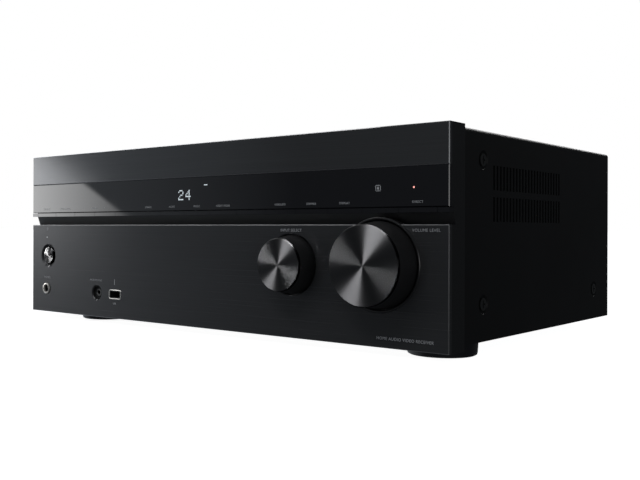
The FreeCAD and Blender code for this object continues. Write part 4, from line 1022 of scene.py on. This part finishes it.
def mains_inlet():
    """A flanged inlet with a deep mouth, three blades and two fixing screws."""
    middle = box_middle("ac_inlet")
    place = on_panel(middle.x, middle.z)
    shell, metal = bmesh.new(), bmesh.new()
    add_frame(shell, place, (48, 23, 5), (24, 16, 1.5), 2.5, 0.4, 0, 1)
    add_frame(shell, place, (27, 19, 1.5), (24.4, 16.4, 1.5), -0.1, 0.1, 14, 1)
    add_box(shell, place, (-13.4, -19, -9.4), (13.4, -14.1, 9.4), 0.5)
    black = moulded("inlet_black", (0.012, 0.012, 0.013))
    piece = add_solid("inlet_shell", shell, black)
    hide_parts("ac_inlet")
    for x, z in ((-7, -2), (7, -2), (0, 2)):
        add_box(metal, place, (x - 1, -14, z - 2), (x + 1, 0, z + 2), 0.5, 3)
    head = [(0, 1.88), (2.0, 1.88), (2.4, 2.18), (2.2, 2.48), (0, 2.48)]
    for x in (-19.5, 19.5):
        add_lathe(metal, head, place + Vector((x, 0, 0)) * MM, BACKWARD, 32)
    add_solid("inlet_blades", metal, plated("blade_nickel", NICKEL))


def rear_print():
    """White names, numbers and signs on the rear panel and the terminal plate."""
    bm = bmesh.new()

    def write(words, x, z, height, behind=0.0):
        add_words(bm, words, x, PANEL_BACK_Y + behind + PRINT_THICK / 2, z, height, back=True)

    sign_step = 9.2 * MM
    terminals_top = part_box("speaker_terminals")[1].z
    for name in CAPS:
        middle = box_middle(name)
        number, sign = name.split("_")[2:]
        if sign == "positive":
            write("+", middle.x, middle.z + sign_step, 2.2, TERMINAL_PLATE)
            write(number, middle.x, terminals_top + 2.5 * MM, 2.4)
        else:
            write(MINUS, middle.x, middle.z - sign_step, 2.2, TERMINAL_PLATE)
    write("SPEAKERS", box_middle("speaker_terminals").x, terminals_top + 7 * MM, 2.6)
    low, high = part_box("rca_sockets")
    rise = (high.z - low.z) / 3
    for x, title in zip(PHONO_COLUMNS, ("OUT 1", "IN 1", "IN 2", "IN 3")):
        for row, word in enumerate(("R", "L", "VIDEO")):
            write(word, x + 9.5 * MM, low.z + rise * (row + 0.5) + 3 * MM, 1.8)
        write(title, x, high.z + 2.2 * MM, 2.2)
    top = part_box("hdmi_ports")[1].z
    for x, title in zip(VIDEO_COLUMNS, ("IN 1", "IN 2", "IN 3", "IN 4", "IN 5", "OUT")):
        write(title, x, top + 3.2 * MM, 2.0)
    write("DIGITAL VIDEO", box_middle("hdmi_ports").x, top + 8 * MM, 2.6)
    low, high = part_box("data_sockets")
    write("NETWORK", high.x - NETWORK_EDGE, high.z + 2.6 * MM, 2.0)
    write("OPTICAL", low.x + 16 * MM, high.z + 2.6 * MM, 2.0)
    write("ANTENNA", box_middle("aerial_terminals").x + 3 * MM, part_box("aerial_terminals")[1].z - 3 * MM, 2.2)
    inlet = box_middle("ac_inlet")
    write("AC IN", inlet.x, inlet.z + 15 * MM, 2.2)
    add_solid("rear_print", bm, moulded("rear_print_white", (0.5, 0.5, 0.5), 0.6), None)


# ---------------------------------------------------------------- inside

BOARD_GREEN = (0.012, 0.085, 0.04)
AMPLIFIER_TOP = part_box("filter_capacitors")[0].z
DIGITAL_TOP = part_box("digital_board")[1].z - 2.4 * MM
BOARD_THICK = 1.6 * MM


def banded(name, axis, first, *bands):
    """A surface in bands along an axis: a (colour, metallic, roughness), then pairs of start and band."""
    s = Surface(name)
    place = s.add("SeparateXYZ", (s.add("TexCoord").outputs["Object"],)).outputs[axis]
    grain = s.noise(s.stretched(700, 700, 700), 1, 4)
    colour, metal, rough = first
    for start, band in bands:
        past = s.math("GREATER_THAN", place, start)
        colour = s.mixed(past, colour, band[0])
        metal = s.spread(past, 0, 1, metal, band[1])
        rough = s.spread(past, 0, 1, rough, band[2])
    dark = s.add("Mix", data_type="RGBA", blend_type="MULTIPLY")
    s.feed(dark.inputs["Factor"], 1.0)
    s.feed(dark.inputs[6], colour)
    s.feed(dark.inputs[7], s.spread(grain, 0.3, 0.7, 0.82, 1.0))
    s.set_input("base", dark.outputs[2])
    s.set_input("metallic", metal)
    s.set_input("roughness", s.math("ADD", rough, s.spread(grain, 0.3, 0.7, -0.04, 0.04)))
    s.bump(grain, 0.00001, 0.5)
    return s


def striped(name, base, line, axis, pitch, metallic=0.0, roughness=0.4, depth=0.0001):
    """Parallel grooves across an axis, a pitch in millimetres apart."""
    s = Surface(name, metallic=metallic, roughness=roughness)
    place = s.add("SeparateXYZ", (s.add("TexCoord").outputs["Object"],)).outputs[axis]
    wave = s.math("SINE", s.math("MULTIPLY", place, 2 * math.pi / (pitch * MM)))
    height = s.spread(wave, -1, -0.4)
    s.tint(height, line, base)
    s.vary_roughness(s.noise(s.stretched(300, 300, 300), 1, 3), roughness - 0.05, roughness + 0.08)
    s.bump(height, depth, 0.8)
    return s


def dress_inside():
    """Materials for the boards, the transformer, the heat sink and the smaller parts inside."""
    pins, card = ((0.6, 0.45, 0.2), 1.0, 0.3), (BOARD_GREEN, 0.0, 0.35)
    legs, epoxy = ((0.52, 0.52, 0.53), 1.0, 0.3), ((0.012, 0.012, 0.013), 0.0, 0.4)
    relays = ((0.03, 0.05, 0.09), 0.0, 0.4)
    bushes, housings = ((0.52, 0.52, 0.53), 1.0, 0.28), ((0.02, 0.02, 0.022), 0.0, 0.4)
    leg_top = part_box("power_transistors")[1].z - 20 * MM
    bush_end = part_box("rotary_encoders")[0].y + 6 * MM
    for name, node, axis, *bands in (
        ("amplifier_layers", "amplifier_board", "Z",
            pins, (AMPLIFIER_TOP - BOARD_THICK, card), (AMPLIFIER_TOP, relays)),
        ("digital_layers", "digital_board", "Z",
            pins, (DIGITAL_TOP - BOARD_THICK, card), (DIGITAL_TOP, epoxy)),
        ("transistor_layers", "power_transistors", "Z", legs, (leg_top, epoxy)),
        ("encoder_layers", "rotary_encoders", "Y", bushes, (bush_end, housings)),
    ):
        dress(banded(name, axis, *bands), node)
    dress(moulded("card_green", BOARD_GREEN, 0.4, 900, 0.00003), "front_boards")
    glass, core, ribbon, sink = (
        striped("tube_glass", (0.02, 0.03, 0.035), (0.05, 0.06, 0.06), "X", 3.0, 0.0, 0.12, 0.00002),
        striped("laminations", (0.16, 0.16, 0.17), (0.05, 0.05, 0.05), "Y", 0.8, 1.0, 0.42),
        striped("ribbon_grey", (0.3, 0.3, 0.31), (0.12, 0.12, 0.12), "X", 1.27, roughness=0.5),
        striped("sink_anodised", (0.05, 0.05, 0.052), (0.03, 0.03, 0.03), "Z", 1.5, 1.0, 0.4, 0.00002),
    )
    dress(glass, "display_tube")
    dress(core, "transformer_core")
    dress(ribbon, "ribbon_cable")
    dress(sink, "heat_sink")


def filter_capacitors():
    """Two tall cans in printed sleeves, each with a crimped rim and a scored vent."""
    low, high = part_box("filter_capacitors")
    radius, tall = (high.y - low.y) / 2 / MM, (high.z - low.z) / MM
    r = radius - 0.1
    sleeve = [
        (r - 2.2, 0.3), (r - 0.5, 0.3), (r, 1.2), (r, 3.4), (r - 0.9, 4.2), (r - 0.9, 5.0), (r, 5.8),
        (r, tall - 1.5), (r - 0.5, tall - 0.6), (r - 1.8, tall - 0.3), (r - 2.2, tall - 0.6),
    ]
    lid = [(0, 0.5), (r - 2.3, 0.5), (r - 2.3, tall - 0.4), (r - 3.2, tall - 0.9), (0, tall - 0.9)]
    sleeves, lids = bmesh.new(), bmesh.new()
    for x in (low.x + radius * MM, high.x - radius * MM):
        place = Vector((x, (low.y + high.y) / 2, low.z))
        add_lathe(sleeves, sleeve, place, UPWARD, 72)
        add_lathe(lids, lid, place, UPWARD, 72)
        for half_x, half_y in ((9, 0.9), (0.9, 9)):
            add_box(lids, place, (-half_x, -half_y, tall - 0.95), (half_x, half_y, tall - 0.6), 0.1)
    wrap = striped("sleeve_print", (0.012, 0.014, 0.03), (0.25, 0.24, 0.2), "X", 9.0, 0.0, 0.3, 0.00001)
    piece = add_solid("capacitor_sleeves", sleeves, wrap)
    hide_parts("filter_capacitors")
    add_solid("capacitor_lids", lids, plated("lid_aluminium", (0.6, 0.6, 0.62), 0.3))


WINDING_LIMB = 28.2
WIRE, WIRE_STEPS = 1.1, 3


def transformer_winding():
    """Layers of wire round the core's middle limb."""
    low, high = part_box("transformer_coil")
    core_low, core_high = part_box("transformer_core")
    middle = (low + high) / 2
    wide, deep, tall = (high - low) / MM

    def loop(size, z):
        outline = rounded_outline(*size, 6)
        return [Vector((p.x, p.z, 0)) * MM + Vector((middle.x, middle.y, z)) for p in outline]

    limb = (WINDING_LIMB, (core_high.y - core_low.y) / MM + 0.2, 0.3)
    loops = [loop(limb, low.z)]
    layers = int(tall / WIRE)
    for k in range(layers):
        for step in range(WIRE_STEPS):
            share = (step + 0.5) / WIRE_STEPS
            grow = 0.9 * math.sin(math.pi * share) - 1.0
            loops.append(loop((wide + grow, deep + grow, 9), low.z + tall * (k + share) / layers * MM))
    loops.append(loop(limb, high.z))
    bm = bmesh.new()
    add_tube(bm, loops)
    copper = plated("winding_copper", (0.62, 0.27, 0.12), 0.3)
    piece = add_solid("transformer_winding", bm, copper, 40)
    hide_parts("transformer_coil")


BOARD_POSTS = [(22, 39.5), (196, 39.5), (22, 113.5), (196, 113.5)]


def board_components():
    """Small parts soldered in free areas of the amplifier board and the digital board."""
    rng = random.Random(11)
    bodies, cans = bmesh.new(), bmesh.new()
    # Left, near, right and far edge in millimetres, the board's upper face and the number of parts.
    for left, near, right, far, level, count in (
        (6, -8, 60, 62, AMPLIFIER_TOP, 34),
        (66, -8, 198, 62, AMPLIFIER_TOP, 60),
        (20, 42, 50, 66, DIGITAL_TOP, 14),
        (62, 106, 196, 130, DIGITAL_TOP, 30),
    ):
        flat = level == DIGITAL_TOP
        taken = [(x, y, 5) for x, y in BOARD_POSTS]
        for _ in range(count * 6):
            if len(taken) == count + len(BOARD_POSTS):
                break
            size = rng.choice((2.0, 2.6, 3.4))
            x, y = rng.uniform(left + size, right - size), rng.uniform(near + size, far - size)
            if any(abs(x - a) < size + c and abs(y - b) < size + c for a, b, c in taken):
                continue
            taken.append((x, y, size))
            place = Vector((x * MM, y * MM, level + 0.02 * MM))
            if size > 2.2 and rng.random() < 0.45:
                tall = 2.2 if flat else rng.uniform(6, 11)
                can = [
                    (0, 0), (size - 0.2, 0), (size, 0.4),
                    (size, tall - 0.4), (size - 0.4, tall), (0, tall),
                ]
                add_lathe(cans, can, place, UPWARD, 24)
            else:
                tall = 1.2 if flat else rng.uniform(1.4, 3)
                half = size * 0.55
                add_box(bodies, place, (-size, -half, 0), (size, half, tall), 0.2, 1)
    add_solid("component_bodies", bodies, moulded("component_epoxy", (0.02, 0.02, 0.022)), None)
    add_solid("component_cans", cans, moulded("component_sleeve", (0.02, 0.03, 0.07), 0.35))


make_camera()
make_world()
make_lights(make_floor())
dress_front()
dress_case()
front_print()
display_glow()
tag_mark()
lamps()
headphone_socket()
microphone_socket()
usb_socket()
feet()
terminal_caps()
speaker_terminals()
phono_sockets()
video_sockets()
data_sockets()
aerial_terminals()
mains_inlet()
rear_print()
dress_inside()
filter_capacitors()
transformer_winding()
board_components()
